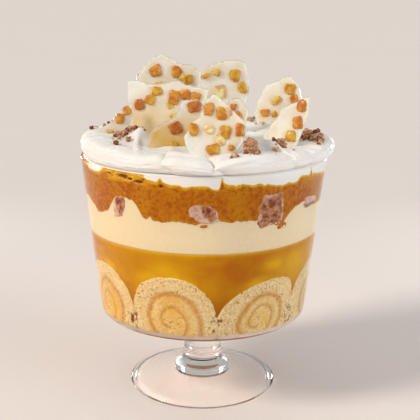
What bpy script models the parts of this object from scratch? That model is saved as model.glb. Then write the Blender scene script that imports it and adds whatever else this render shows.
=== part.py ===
"""A layered trifle in its footed glass bowl: Swiss roll slices in jelly, custard, fruit coulis with
amaretti, whipped cream, and white chocolate shards set with candied peel. Metres, +Z up, front is -Y."""

import math

import bmesh
import bpy
from mathutils import Vector

# ---- shared sizes ---------------------------------------------------------------------------
SEGMENTS = 36  # facets round the bowl and every layer in it
GAP = 0.0003  # clearance left between pieces that touch
FACET = math.cos(math.pi / SEGMENTS)  # mid-facet radius as a share of the corner radius

# ---- glass bowl, stem and foot --------------------------------------------------------------
RIM_RADIUS = 0.105
RIM_HEIGHT = 0.2092
WALL_SLOPE = 0.110  # outward lean of the wall, radius per height
WALL_FOOT_HEIGHT = 0.0703
WALL_FOOT_RADIUS = 0.0897
WALL_THICKNESS = 0.0028
CORNER_RADIUS = 0.0066
UNDERSIDE_CENTRE = 0.0658
FLOOR_EDGE_HEIGHT = 0.0738
FLOOR_CENTRE_HEIGHT = 0.0722
FLOOR_CORNER_RADIUS = 0.0050
STEM_RADIUS = 0.0166
STEM_FLARE_RADIUS = 0.0189
FOOT_RADIUS = 0.0648
FOOT_EDGE_THICKNESS = 0.0042
FOOT_CROWN_HEIGHT = 0.0137

# ---- layers ---------------------------------------------------------------------------------
JELLY_TOP = 0.1468
CUSTARD_TOP = 0.1730
COULIS_TOP = 0.2034
# (azimuth from the front, half-width in degrees, rise in metres)
CUSTARD_WAVES = (
    (-38, 8, 0.0155), (-57, 9, -0.0030), (52, 10, 0.0060), (37, 6, -0.0040), (95, 16, 0.0040),
    (140, 14, -0.0040), (172, 12, 0.0070), (215, 15, -0.0030), (255, 14, 0.0050),
)
COULIS_WAVES = (
    (-38, 12, 0.0038), (4, 8, -0.0026), (38, 10, -0.0024), (55, 7, 0.0030), (80, 10, -0.0030),
    (125, 14, 0.0020), (165, 12, -0.0020), (205, 14, 0.0025), (250, 14, -0.0020),
)

# ---- Swiss roll slices ----------------------------------------------------------------------
ROLL_COUNT = 8
ROLL_FIRST_AZIMUTH = -15.5
ROLL_HALF_WIDTH = 0.0335
ROLL_HALF_HEIGHT = 0.0268
ROLL_THICKNESS = 0.018
ROLL_BASE = 0.0746
ROLL_STEPS = 12  # steps in one turn of the spiral
ROLL_TURNS = 2.75
ROLL_SAG = 0.0085  # how far the middle of the spiral has sunk below the middle of the slice
ROLL_FLAP = 0.0026  # step where the outer end of the sheet lies
FILLING_WIDTH = 0.0026
FILLING_DEPTH = 0.0010
# per slice: turn of the spiral in degrees, share of full height, slant
ROLL_VARIETY = (
    (105, 0.98, 0.02), (135, 0.90, 0.04), (60, 0.97, -0.03), (225, 0.99, 0.05),
    (300, 0.95, -0.04), (15, 0.98, 0.03), (165, 0.96, -0.05), (75, 0.97, 0.03),
)

# ---- whipped cream --------------------------------------------------------------------------
CREAM_LEVEL = 0.2226
CREAM_EDGE_RISE = 0.0085
RIM_CLEARANCE = 0.0003
# lobes folded over the rim: (azimuth, half-width in degrees, overhang, bulge)
CREAM_LOBES = (
    (-60, 42, -0.0012, 0.0026), (-6, 10, 0.0012, 0.0012), (24, 18, 0.0012, 0.0014),
    (49, 6, 0.0012, 0.0016), (84, 26, 0.0026, 0.0034), (138, 26, 0.0006, 0.0022),
    (184, 19, 0.0012, 0.0018), (228, 23, 0.0002, 0.0024),
)
CREASE_DEPTH = 0.0034
CREASE_WIDTH = 5.0
# soft mounds and hollows: (x, y, radius, rise)
CREAM_MOUNDS = (
    (-0.036, -0.066, 0.013, 0.0040), (0.046, -0.064, 0.016, 0.0036), (-0.078, 0.040, 0.022, 0.0042),
    (-0.070, -0.024, 0.014, 0.0042), (0.090, 0.006, 0.018, 0.0032), (0.018, 0.078, 0.024, 0.0036),
    (0.058, -0.050, 0.012, 0.0022), (0.052, 0.052, 0.018, 0.0020), (-0.030, 0.068, 0.016, 0.0020),
    (0.006, -0.086, 0.012, -0.0012), (0.074, -0.044, 0.014, -0.0016), (0.000, -0.014, 0.030, 0.0020),
    (-0.010, 0.030, 0.020, -0.0015),
)
CREAM_RING_RADII = (0.0900, 0.0760, 0.0590, 0.0410, 0.0210)

# ---- white chocolate shards -----------------------------------------------------------------
SHARD_THICKNESS = 0.0026
EDGE_WOBBLE = 0.0007
# name: foot point, turn and lean in degrees, corners across and up its face in millimetres
SHARDS = {
    "chocolate_shard_front": (
        (4, -80, 221.5), -4, 17,
        ((-17, 5), (-20, 14), (-13, 26), (-8, 30), (-5, 42), (3, 48), (10, 42), (22, 31),
         (28, 25), (25, 11), (14, -7), (-10, -8)),
    ),
    "chocolate_shard_front_left": (
        (-30, -50, 223.5), 6, 14,
        ((-18, -8), (-18, -1), (-12, 10), (-5, 18), (8, 23), (13, 36), (25, 37), (33, 31),
         (38, 18), (35, -8)),
    ),
    "chocolate_shard_left": (
        (-46, 14, 225.5), -8, 12,
        ((-19, -8), (-21, 22), (-22, 43), (-13, 43), (-2, 39), (11, 41), (22, 44), (29, 40),
         (49, 37), (47, 27), (40, 12), (24, -7)),
    ),
    "chocolate_shard_back_left": (
        (-28, 44, 226), 4, 9,
        ((-22, -9), (-31, 12), (-32, 38), (-25, 53), (-11, 64), (6, 55), (17, 53), (25, 47),
         (21, 20), (12, -9)),
    ),
    "chocolate_shard_back_sliver": (
        (-50, 60, 226), 12, 6,
        ((-7, -8), (-12, 34), (-11, 42), (-5, 49), (3, 42), (4, -8)),
    ),
    "chocolate_shard_back_right": (
        (22, 24, 226), 8, 8,
        ((-12, -8), (-23, 17), (-25, 48), (-16, 56), (-3, 60), (15, 58), (18, 36), (17, 29),
         (10, 10), (8, -8)),
    ),
    "chocolate_shard_centre": (
        (36, -8, 225), -6, 10,
        ((-15, -8), (-18, 14), (-17, 27), (-12, 32), (-6, 31), (1, 21), (-1, 10), (-3, -8)),
    ),
    "chocolate_shard_back": (
        (64, 60, 225.5), -12, 11,
        ((-14, -8), (-18, 8), (-15, 20), (-9, 35), (3, 39), (13, 44), (20, 35), (25, 24),
         (23, 10), (16, -8)),
    ),
    "chocolate_shard_right": (
        (64, -28, 223), -33, 10,
        ((-12, -8), (-17, 5), (-11, 14), (-2, 28), (10, 34), (21, 40), (22, 30), (20, 17),
         (15, 2), (10, -8)),
    ),
    "chocolate_shard_far_left": (
        (-80, -8, 223), 18, 25,
        ((-10, -7), (-11, 2), (-3, 10), (4, 14), (11, 23), (21, 29), (22, 14), (15, -7)),
    ),
}
# name: shard, place across and up its face, width and height in millimetres, turn in degrees
PEEL = {
    "candied_peel_1": ("chocolate_shard_front", -12.0, 20.0, 6.5, 9.0, 8),
    "candied_peel_2": ("chocolate_shard_front", -1.2, 35.5, 6.5, 8.5, -4),
    "candied_peel_3": ("chocolate_shard_front", 8.7, 32.5, 7.0, 8.5, 5),
    "candied_peel_4": ("chocolate_shard_front", 12.0, 18.7, 7.5, 8.5, -14),
    "candied_peel_5": ("chocolate_shard_front", 2.9, 4.8, 8.5, 7.4, 12),
    "candied_peel_6": ("chocolate_shard_front", 23.4, 20.4, 6.0, 8.5, 3),
    "candied_peel_7": ("chocolate_shard_front_left", 7.7, 14.0, 9.0, 9.0, 24),
    "candied_peel_8": ("chocolate_shard_front_left", 22.7, 30.8, 9.0, 8.0, 8),
    "candied_peel_9": ("chocolate_shard_left", 4.5, 34.2, 8.2, 6.2, 4),
    "candied_peel_10": ("chocolate_shard_left", -1.8, 26.6, 7.8, 7.2, -6),
    "candied_peel_11": ("chocolate_shard_left", -10.8, 22.0, 7.4, 8.0, 10),
    "candied_peel_12": ("chocolate_shard_left", 19.6, 29.0, 8.0, 10.5, -8),
    "candied_peel_13": ("chocolate_shard_left", 29.2, 31.6, 7.4, 8.0, 14),
    "candied_peel_14": ("chocolate_shard_left", 38.4, 29.7, 7.4, 7.0, -10),
    "candied_peel_15": ("chocolate_shard_back_left", -15.4, 47.4, 9.5, 9.5, 20),
    "candied_peel_16": ("chocolate_shard_back_left", 3.6, 46.6, 8.0, 8.5, -12),
    "candied_peel_17": ("chocolate_shard_back_left", 14.0, 40.0, 7.5, 7.0, 16),
    "candied_peel_18": ("chocolate_shard_back_right", 5.6, 46.0, 8.5, 9.0, 0),
    "candied_peel_19": ("chocolate_shard_back_right", 12.0, 35.6, 6.5, 8.0, 6),
    "candied_peel_20": ("chocolate_shard_back", 13.4, 31.4, 8.5, 8.5, -6),
    "candied_peel_21": ("chocolate_shard_back", 17.8, 22.2, 6.0, 7.5, 10),
    "candied_peel_22": ("chocolate_shard_right", 15.8, 31.6, 7.5, 8.5, -4),
    "candied_peel_23": ("chocolate_shard_right", 13.2, 17.7, 7.5, 8.5, 12),
    "candied_peel_24": ("chocolate_shard_right", 8.4, 6.2, 7.5, 8.0, 4),
    "candied_peel_25": ("chocolate_shard_far_left", 10.6, 15.6, 6.0, 8.0, -6),
    "candied_peel_26": ("chocolate_shard_far_left", 17.6, 22.2, 5.6, 7.0, 14),
}
PEEL_STAND = 0.0042  # how far a cube of peel stands out of the chocolate
PEEL_CHAMFER = 0.0012
PEEL_TAPER = 0.86  # size of a cube's outer face as a share of its inner one

# ---- amaretti -------------------------------------------------------------------------------
# pieces against the glass: (azimuth, height, half-sizes across, up and in)
WALL_AMARETTI = {
    "amaretti_wall_left": (-41.5, 0.1800, 0.0062, 0.0088, 0.0075),
    "amaretti_wall_front": (0.6, 0.1800, 0.0118, 0.0082, 0.0090),
    "amaretti_wall_right": (32.0, 0.1795, 0.0122, 0.0128, 0.0105),
    "amaretti_wall_far_right": (58.0, 0.1795, 0.0062, 0.0048, 0.0065),
}
# pieces lying on the cream: (x, y, half-sizes across, deep and up, turn)
TOP_AMARETTI = {
    "amaretti_top_front": (0.0362, -0.0835, 0.0062, 0.0050, 0.0066, 10),
    "amaretti_top_front_right": (0.0590, -0.0560, 0.0068, 0.0055, 0.0050, -25),
    "amaretti_top_right": (0.0860, -0.0120, 0.0058, 0.0060, 0.0032, 15),
    "amaretti_top_far_right": (0.0940, -0.0230, 0.0056, 0.0055, 0.0036, -10),
    "amaretti_top_left": (-0.0680, -0.0180, 0.0056, 0.0040, 0.0026, 12),
}
ROUGHNESS_SHARE = 0.16  # unevenness of a broken amaretti piece as a share of its size


# ---- helpers --------------------------------------------------------------------------------
def clear_scene():
    """Remove whatever the scene starts with."""
    for item in list(bpy.data.objects):
        bpy.data.objects.remove(item, do_unlink=True)


def make_material(name, colour, roughness, transmission=0.0):
    """A Principled material with one plain colour."""
    material = bpy.data.materials.new(name)
    material.use_nodes = True
    shader = material.node_tree.nodes["Principled BSDF"]
    shader.inputs["Base Color"].default_value = (*colour, 1.0)
    shader.inputs["Roughness"].default_value = roughness
    shader.inputs["Transmission Weight"].default_value = transmission
    return material


def make_object(name, mesh_data, material=None, helper=False):
    """Turn a finished bmesh into an object with outward normals; a helper is hidden from renders."""
    mesh_data.normal_update()
    bmesh.ops.recalc_face_normals(mesh_data, faces=mesh_data.faces[:])
    mesh = bpy.data.meshes.new(name)
    mesh_data.to_mesh(mesh)
    mesh_data.free()
    item = bpy.data.objects.new(name, mesh)
    bpy.context.scene.collection.objects.link(item)
    if material is not None:
        mesh.materials.append(material)
    if helper:
        item.hide_render = True
        item.display_type = "WIRE"
    return item


def subtract(target, cutter):
    """Cut one object out of another with an exact Boolean."""
    modifier = target.modifiers.new("cut_" + cutter.name, "BOOLEAN")
    modifier.operation = "DIFFERENCE"
    modifier.solver = "EXACT"
    modifier.object = cutter


def direction(azimuth):
    """Unit vector outwards at an azimuth in degrees: 0 is the front, 90 the right."""
    angle = math.radians(azimuth)
    return Vector((math.sin(angle), -math.cos(angle), 0.0))


def wrapped(azimuth, centre):
    """Difference of two azimuths, from -180 to 180 degrees."""
    return (azimuth - centre + 180.0) % 360.0 - 180.0


def waves(table, azimuth):
    """Sum of the bell-shaped rises of a table at an azimuth."""
    return sum(rise * math.exp(-((wrapped(azimuth, centre) / width) ** 2)) for centre, width, rise in table)


def outer_radius(height):
    """Outer radius of the bowl's straight wall at a height."""
    return WALL_FOOT_RADIUS + WALL_SLOPE * (height - WALL_FOOT_HEIGHT)


def inner_radius(height, clearance=0.0):
    """Inner radius of the bowl at a height, down into its rounded floor corner."""
    corner_height = FLOOR_EDGE_HEIGHT + FLOOR_CORNER_RADIUS
    if height >= corner_height:
        return outer_radius(height) - WALL_THICKNESS - clearance
    centre_radius = outer_radius(corner_height) - WALL_THICKNESS - FLOOR_CORNER_RADIUS
    reach = FLOOR_CORNER_RADIUS - clearance
    drop = min(corner_height - height, reach)
    return centre_radius + math.sqrt(reach * reach - drop * drop)


def build_skin(rings, bottom, top):
    """Closed body from rings of points between two axis points; a ring may double the next one's points."""
    body = bmesh.new()
    rows = [[body.verts.new(point) for point in ring] for ring in rings]
    low = body.verts.new(bottom)
    high = body.verts.new(top)
    count = len(rows[0])
    for step in range(count):
        body.faces.new((low, rows[0][(step + 1) % count], rows[0][step]))
    count = len(rows[-1])
    for step in range(count):
        body.faces.new((high, rows[-1][step], rows[-1][(step + 1) % count]))
    for first, second in zip(rows, rows[1:]):
        join_rings(body, first, second)
    return body


def join_rings(body, first, second):
    """Triangles between two rings, with the diagonals always set the same way from inner to outer."""
    if len(second) == 2 * len(first) or len(first) == 2 * len(second):
        coarse, fine = (first, second) if len(first) < len(second) else (second, first)
        count = len(coarse)
        for step in range(count):
            after = (step + 1) % count
            left, middle = fine[2 * step], fine[2 * step + 1]
            right = fine[(2 * step + 2) % len(fine)]
            body.faces.new((coarse[step], left, middle))
            body.faces.new((coarse[step], middle, coarse[after]))
            body.faces.new((coarse[after], middle, right))
        return
    count = len(first)
    inner_first = ring_radius(first) <= ring_radius(second)
    for step in range(count):
        after = (step + 1) % count
        if inner_first:
            body.faces.new((first[step], first[after], second[after]))
            body.faces.new((first[step], second[after], second[step]))
        else:
            body.faces.new((first[step], first[after], second[step]))
            body.faces.new((first[after], second[after], second[step]))


def ring_radius(ring):
    """Mean distance of a ring of vertices from the axis."""
    return sum(vertex.co.xy.length for vertex in ring) / len(ring)


def ring_at(radius, height, count=SEGMENTS):
    """A ring of points; radius and height may be numbers or functions of the azimuth."""
    points = []
    for step in range(count):
        azimuth = 360.0 * step / count
        reach = radius(azimuth) if callable(radius) else radius
        level = height(azimuth) if callable(height) else height
        points.append(direction(azimuth) * reach + Vector((0.0, 0.0, level)))
    return points


# ---- the bowl -------------------------------------------------------------------------------
def bowl_profile():
    """Radius and height pairs from under the foot, up the outside, over the rim and down inside."""
    points = [(FOOT_RADIUS - 0.0016, 0.0), (FOOT_RADIUS, 0.0014), (FOOT_RADIUS, FOOT_EDGE_THICKNESS - 0.0012)]
    points.append((FOOT_RADIUS - 0.0012, FOOT_EDGE_THICKNESS))
    points.append((0.0430, 0.0080))
    points.append((0.0245, 0.0126))
    points.append((0.0205, FOOT_CROWN_HEIGHT + 0.0005))
    points.append((0.0176, 0.0175))
    points.append((STEM_RADIUS, 0.0225))
    points.append((STEM_RADIUS - 0.0003, 0.0400))
    points.append((STEM_RADIUS, 0.0555))
    points.append((STEM_FLARE_RADIUS, 0.0632))
    points.append((0.0225, UNDERSIDE_CENTRE + 0.0001))
    points.append((0.0560, UNDERSIDE_CENTRE + 0.0016))
    centre_radius = outer_radius(WALL_FOOT_HEIGHT + CORNER_RADIUS) - CORNER_RADIUS
    for angle in (-88, -60, -30, 0):
        turn = math.radians(angle)
        height = WALL_FOOT_HEIGHT + CORNER_RADIUS * (1.0 + math.sin(turn))
        points.append((centre_radius + CORNER_RADIUS * math.cos(turn), height))
    points.append((outer_radius(0.1400), 0.1400))
    rim_middle = RIM_RADIUS - WALL_THICKNESS / 2
    half = WALL_THICKNESS / 2
    points.append((rim_middle + half, RIM_HEIGHT - half))
    points.append((rim_middle + half * 0.62, RIM_HEIGHT - half * 0.22))
    points.append((rim_middle, RIM_HEIGHT))
    points.append((rim_middle - half * 0.62, RIM_HEIGHT - half * 0.22))
    points.append((rim_middle - half, RIM_HEIGHT - half))
    points.append((inner_radius(0.1400), 0.1400))
    for share in (1.0, 0.5, 0.14, 0.0):
        height = FLOOR_EDGE_HEIGHT + FLOOR_CORNER_RADIUS * share
        points.append((inner_radius(height), height))
    points.append((0.0500, FLOOR_CENTRE_HEIGHT + 0.0006))
    return points


def build_bowl(material):
    """The footed bowl: one body of glass."""
    rings = [ring_at(radius, height) for radius, height in bowl_profile()]
    body = build_skin(rings, Vector((0, 0, 0)), Vector((0, 0, FLOOR_CENTRE_HEIGHT)))
    return make_object("glass_bowl", body, material)


# ---- the layers -----------------------------------------------------------------------------
def fitted_radius(height):
    """Radius of a filling's corner points against the glass at a height."""
    return inner_radius(height, GAP)


def custard_level(azimuth, share):
    """Height of the top of the custard; it varies most at the glass."""
    return CUSTARD_TOP + waves(CUSTARD_WAVES, azimuth) * share * share


def coulis_level(azimuth, share):
    """Height of the top of the coulis."""
    return COULIS_TOP + waves(COULIS_WAVES, azimuth) * share * share


def level_rings(level, lift, shares):
    """Rings of an uneven surface, at shares of the bowl's inner radius."""
    def height(share):
        return lambda azimuth: level(azimuth, share) + lift

    def reach(share):
        return lambda azimuth: fitted_radius(level(azimuth, 1.0) + lift) * share

    return [ring_at(reach(share), height(share)) for share in shares]


SURFACE_SHARES = (0.45, 0.80, 1.0)


def build_jelly(material):
    """Jelly from the bowl's floor to its level top, before the slices are cut out of it."""
    rings = [ring_at(0.0500, FLOOR_CENTRE_HEIGHT + 0.0006 + GAP)]
    for share in (0.10, 0.50, 1.0):
        height = FLOOR_EDGE_HEIGHT + FLOOR_CORNER_RADIUS * share
        rings.append(ring_at(inner_radius(height, GAP), height))
    rings[1] = ring_at(inner_radius(FLOOR_EDGE_HEIGHT + 2 * GAP, GAP), FLOOR_EDGE_HEIGHT + 2 * GAP)
    rings.append(ring_at(fitted_radius(JELLY_TOP), JELLY_TOP))
    body = build_skin(rings, Vector((0, 0, FLOOR_CENTRE_HEIGHT + GAP)), Vector((0, 0, JELLY_TOP)))
    return make_object("jelly", body, material)


def build_custard(material):
    """Custard with a level underside and an uneven top."""
    base = JELLY_TOP + GAP
    rings = [ring_at(fitted_radius(base), base)]
    rings += reversed(level_rings(custard_level, 0.0, SURFACE_SHARES))
    body = build_skin(rings, Vector((0, 0, base)), Vector((0, 0, CUSTARD_TOP)))
    return make_object("custard", body, material)


def build_coulis(material):
    """Coulis between the uneven custard and the cream."""
    rings = level_rings(custard_level, GAP, SURFACE_SHARES)
    rings += reversed(level_rings(coulis_level, 0.0, SURFACE_SHARES))
    body = build_skin(rings, Vector((0, 0, CUSTARD_TOP + GAP)), Vector((0, 0, COULIS_TOP)))
    return make_object("fruit_coulis", body, material)


# ---- Swiss roll slices ----------------------------------------------------------------------
def roll_point(across, up, azimuth, base_centre, slant, recess):
    """A point on a slice's outer face, which follows the glass, set in by the recess."""
    height = base_centre + up + slant * across
    reach = inner_radius(max(height, FLOOR_EDGE_HEIGHT + 0.0012)) * FACET - GAP - recess
    turn = azimuth + math.degrees(across / 0.0905)
    return direction(turn) * reach + Vector((0.0, 0.0, height))


def spiral_reach(step):
    """Radius of the filling's spiral at a step, as a share of the slice."""
    return 0.05 + 0.90 * (step / ROLL_STEPS) / ROLL_TURNS


def build_roll(name, azimuth, variety, material):
    """One slice standing against the glass: a spiral of sponge with a groove for its filling."""
    turn, tallness, slant = variety
    last = int(ROLL_STEPS * ROLL_TURNS)
    half_height = ROLL_HALF_HEIGHT * tallness
    centre = ROLL_BASE + half_height + abs(slant) * 0.004
    groove = FILLING_WIDTH / (2 * ROLL_HALF_WIDTH)
    body = bmesh.new()

    def place(step, reach, recess):
        angle = math.radians(turn - 360.0 * step / ROLL_STEPS)
        across = ROLL_HALF_WIDTH * reach * math.cos(angle)
        up = half_height * reach * math.sin(angle) - ROLL_SAG * max(0.0, 0.92 - reach * reach)
        return body.verts.new(roll_point(across, up, azimuth, centre, slant, recess))

    end = place(last, 0.96, 0.0)
    start = place(0, spiral_reach(0), 0.0)
    inner = [start] + [place(s, spiral_reach(s) - groove, 0.0) for s in range(1, last)] + [end]
    deep = [start] + [place(s, spiral_reach(s), FILLING_DEPTH) for s in range(1, last)] + [end]
    outer = [start] + [place(s, spiral_reach(s) + groove, 0.0) for s in range(1, last)] + [end]
    seam = last - ROLL_STEPS
    flap = ROLL_FLAP / ROLL_HALF_WIDTH
    rim = [end]
    for step in range(seam + 1, last + 1):
        share = (step - seam) / ROLL_STEPS
        rim.append(place(step, 0.96 + flap * share * 0.5 + 0.5 * flap * (share > 0.99), 0.0))
    back_rim = []
    for vertex in rim:
        outwards = Vector((vertex.co.x, vertex.co.y, 0.0)).normalized()
        back_rim.append(body.verts.new(vertex.co - outwards * ROLL_THICKNESS))
    for first, second in ((inner, deep), (deep, outer)):
        for step in range(last):
            add_quad(body, first[step], first[step + 1], second[step + 1], second[step])
    for step in range(last - ROLL_STEPS):
        add_quad(body, outer[step], outer[step + 1], inner[step + 1 + ROLL_STEPS], inner[step + ROLL_STEPS])
    for step in range(ROLL_STEPS):
        add_quad(body, outer[seam + step], outer[seam + step + 1], rim[step + 1], rim[step])
    for step in range(1, ROLL_STEPS):
        body.faces.new((start, inner[step], inner[step + 1]))
    count = len(rim)
    middle = sum((vertex.co for vertex in back_rim), Vector()) / count
    hub = body.verts.new(middle)
    for step in range(count):
        after = (step + 1) % count
        body.faces.new((hub, back_rim[after], back_rim[step]))
        add_quad(body, rim[step], rim[after], back_rim[after], back_rim[step])
    return make_object(name, body, material)


def add_quad(body, first, second, third, fourth):
    """Two triangles over four corners, or one where two corners are the same vertex."""
    for corners in ((first, second, third), (first, third, fourth)):
        if len(set(corners)) == 3:
            body.faces.new(corners)


def build_roll_pocket(name, azimuth, variety):
    """The hollow that a slice takes up in the jelly, open towards the glass."""
    tallness, slant = variety[1], variety[2]
    half_height = ROLL_HALF_HEIGHT * tallness
    centre = ROLL_BASE + half_height + abs(slant) * 0.004
    grown = 0.96 + ROLL_FLAP / ROLL_HALF_WIDTH + 2.6 * GAP / ROLL_HALF_HEIGHT
    body = bmesh.new()
    front, back = [], []
    for step in range(2 * ROLL_STEPS):
        angle = math.radians(180.0 * step / ROLL_STEPS)
        across = ROLL_HALF_WIDTH * grown * math.cos(angle)
        up = half_height * grown * math.sin(angle)
        point = roll_point(across, up, azimuth, centre, slant, 0.0)
        outwards = Vector((point.x, point.y, 0.0)).normalized()
        front.append(body.verts.new(point + outwards * 0.006))
        back.append(body.verts.new(point - outwards * (ROLL_THICKNESS + 2 * GAP)))
    count = len(front)
    for corners in (front, back):
        hub = body.verts.new(sum((vertex.co for vertex in corners), Vector()) / count)
        for step in range(count):
            body.faces.new((hub, corners[step], corners[(step + 1) % count]))
    for step in range(count):
        add_quad(body, front[step], front[(step + 1) % count], back[(step + 1) % count], back[step])
    return make_object(name, body, helper=True)


# ---- cream ----------------------------------------------------------------------------------
def crease(azimuth):
    """How much a crease between two lobes cuts in at an azimuth, from 0 to 1."""
    depth = 0.0
    for centre, half_width, _, _ in CREAM_LOBES:
        for side in (-1, 1):
            away = wrapped(azimuth, centre + side * half_width)
            depth = max(depth, math.exp(-((away / CREASE_WIDTH) ** 2)))
    return depth


def lobe_value(azimuth, index):
    """Overhang (2) or bulge (3) of the lobes at an azimuth, blended from lobe to lobe."""
    total, weight = 0.0, 1e-9
    for lobe in CREAM_LOBES:
        share = math.exp(-((wrapped(azimuth, lobe[0]) / lobe[1]) ** 4))
        total += lobe[index] * share
        weight += share
    return total / weight


def cream_height(x, y):
    """Height of the top of the cream away from its rounded edge."""
    rise = 0.0
    for centre_x, centre_y, radius, height in CREAM_MOUNDS:
        rise += height * math.exp(-((x - centre_x) ** 2 + (y - centre_y) ** 2) / (radius * radius))
    ripple = 0.0007 * math.sin(95.0 * x + 60.0 * y) * math.cos(70.0 * y - 40.0 * x)
    return CREAM_LEVEL + rise + ripple


def cream_surface(x, y):
    """Height of the top of the cream at a spot, with the creases and the fall towards the edge."""
    radius = math.hypot(x, y)
    azimuth = math.degrees(math.atan2(x, -y))
    nearness = max(0.0, (radius - 0.060) / 0.040)
    fall = 0.0004 * (radius > 0.083) + 0.0021 * max(0.0, (radius - 0.090) / 0.0085) ** 1.5
    return cream_height(x, y) - fall - CREASE_DEPTH * nearness * crease(azimuth)


def cream_top_ring(radius, count):
    """A ring on the top of the cream."""
    def height(azimuth):
        spot = direction(azimuth) * radius
        return cream_surface(spot.x, spot.y)

    return ring_at(radius, height, count)


def build_cream(material):
    """Whipped cream from the coulis up over the rim, with folded lobes and soft mounds."""
    fine = 2 * SEGMENTS
    base = RIM_HEIGHT + RIM_CLEARANCE
    rim_middle = RIM_RADIUS - WALL_THICKNESS / 2
    inside = inner_radius(RIM_HEIGHT, GAP)
    rings = level_rings(coulis_level, GAP, SURFACE_SHARES)
    rings.append(ring_at(fitted_radius(RIM_HEIGHT - 0.0006) - 0.0001, RIM_HEIGHT - 0.0006))
    rings.append(ring_at(inside - 0.0002, base))

    def edge(share, pull):
        def reach(azimuth):
            bulge = lobe_value(azimuth, 3) * share - CREASE_DEPTH * 0.6 * crease(azimuth)
            return max(rim_middle + lobe_value(azimuth, 2) + bulge - pull, inside + 0.0006)
        return reach

    rings.append(ring_at(edge(0.0, 0.0), base, fine))
    rings.append(ring_at(edge(1.0, 0.0), base + 0.45 * CREAM_EDGE_RISE, fine))
    rings.append(ring_at(edge(0.6, 0.0016), base + CREAM_EDGE_RISE, fine))
    rings.append(cream_top_ring(0.0985, fine))
    rings.append(cream_top_ring(CREAM_RING_RADII[0], fine))
    rings.append(cream_top_ring(CREAM_RING_RADII[1], fine))
    rings += [cream_top_ring(radius, SEGMENTS) for radius in CREAM_RING_RADII[2:]]
    top = Vector((0, 0, cream_height(0.0, 0.0)))
    body = build_skin(rings, Vector((0, 0, COULIS_TOP + GAP)), top)
    return make_object("whipped_cream", body, material)


# ---- chocolate shards and peel --------------------------------------------------------------
def shard_frame(name):
    """Foot point, across, up and outward directions of a shard's face."""
    foot, turn, lean, _ = SHARDS[name]
    turn, lean = math.radians(turn), math.radians(lean)
    across = Vector((math.cos(turn), math.sin(turn), 0.0))
    level = Vector((math.sin(turn), -math.cos(turn), 0.0))
    up = Vector((0, 0, 1)) * math.cos(lean) - level * math.sin(lean)
    outward = level * math.cos(lean) + Vector((0, 0, 1)) * math.sin(lean)
    return Vector(foot) / 1000.0, across, up, outward


def broken_edge(corners, grow):
    """A shard's outline in metres: each side gets one point in the middle, set off by a small wobble."""
    outline = []
    count = len(corners)
    for index in range(count):
        first = Vector(corners[index]) / 1000.0
        second = Vector(corners[(index + 1) % count]) / 1000.0
        side = second - first
        normal = Vector((side.y, -side.x)).normalized()
        wobble = EDGE_WOBBLE * math.sin(2.4 * index + 37.0 * first.x * 10)
        outline += [first, (first + second) / 2 + normal * wobble]
    if grow == 0.0:
        return outline
    grown = []
    for index, point in enumerate(outline):
        before, after = outline[index - 1], outline[(index + 1) % len(outline)]
        along = (after - before).normalized()
        grown.append(point + Vector((-along.y, along.x)) * grow)
    return grown


def build_shard(name, material=None, grow=0.0):
    """A flat, broken piece of chocolate, or with a growth the slot that it needs in the cream."""
    origin, across, up, outward = shard_frame(name)
    outline = broken_edge(SHARDS[name][3], grow)
    half = SHARD_THICKNESS / 2 + grow
    body = bmesh.new()
    faces = []
    for side in (half, -half):
        faces.append([body.verts.new(origin + across * p.x + up * p.y + outward * side) for p in outline])
    body.faces.new(faces[0])
    body.faces.new(faces[1])
    count = len(outline)
    for step in range(count):
        after = (step + 1) % count
        body.faces.new((faces[0][step], faces[0][after], faces[1][after], faces[1][step]))
    if grow:
        return make_object("slot_" + name, body, helper=True)
    return make_object(name, body, material)


def build_peel(name, material):
    """A cube of candied peel set on the face of a shard, with its corners taken off."""
    shard, place_across, place_up, width, height, turn = PEEL[name]
    origin, across, up, outward = shard_frame(shard)
    centre = origin + across * (place_across / 1000.0) + up * (place_up / 1000.0)
    centre += outward * (SHARD_THICKNESS / 2 + GAP)
    turn = math.radians(turn)
    along = across * math.cos(turn) + up * math.sin(turn)
    over = up * math.cos(turn) - across * math.sin(turn)
    half_w, half_h = width / 2000.0, height / 2000.0
    corner = PEEL_CHAMFER
    outline = [
        (half_w - corner, -half_h), (half_w, corner - half_h),
        (half_w, half_h - corner), (half_w - corner, half_h),
        (corner - half_w, half_h), (-half_w, half_h - corner),
        (-half_w, corner - half_h), (corner - half_w, -half_h),
    ]
    body = bmesh.new()
    low = [body.verts.new(centre + along * a + over * b) for a, b in outline]
    crown = centre + outward * PEEL_STAND
    high = [body.verts.new(crown + (along * a + over * b) * PEEL_TAPER) for a, b in outline]
    body.faces.new(low)
    body.faces.new(high)
    for step in range(8):
        after = (step + 1) % 8
        body.faces.new((low[step], low[after], high[after], high[step]))
    return make_object(name, body, material)


# ---- amaretti -------------------------------------------------------------------------------
def broken_lump(seed):
    """Unit directions of a broken biscuit's surface points, with their faces and uneven reach."""
    body = bmesh.new()
    bmesh.ops.create_icosphere(body, subdivisions=1, radius=1.0)
    for vertex in body.verts:
        point = vertex.co
        bump = math.sin(3.1 * point.x + seed) + math.sin(4.3 * point.y + 2 * seed)
        bump += math.cos(3.7 * point.z - seed)
        vertex.co = point * (1.0 + ROUGHNESS_SHARE * bump / 2.0)
    return body


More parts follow.
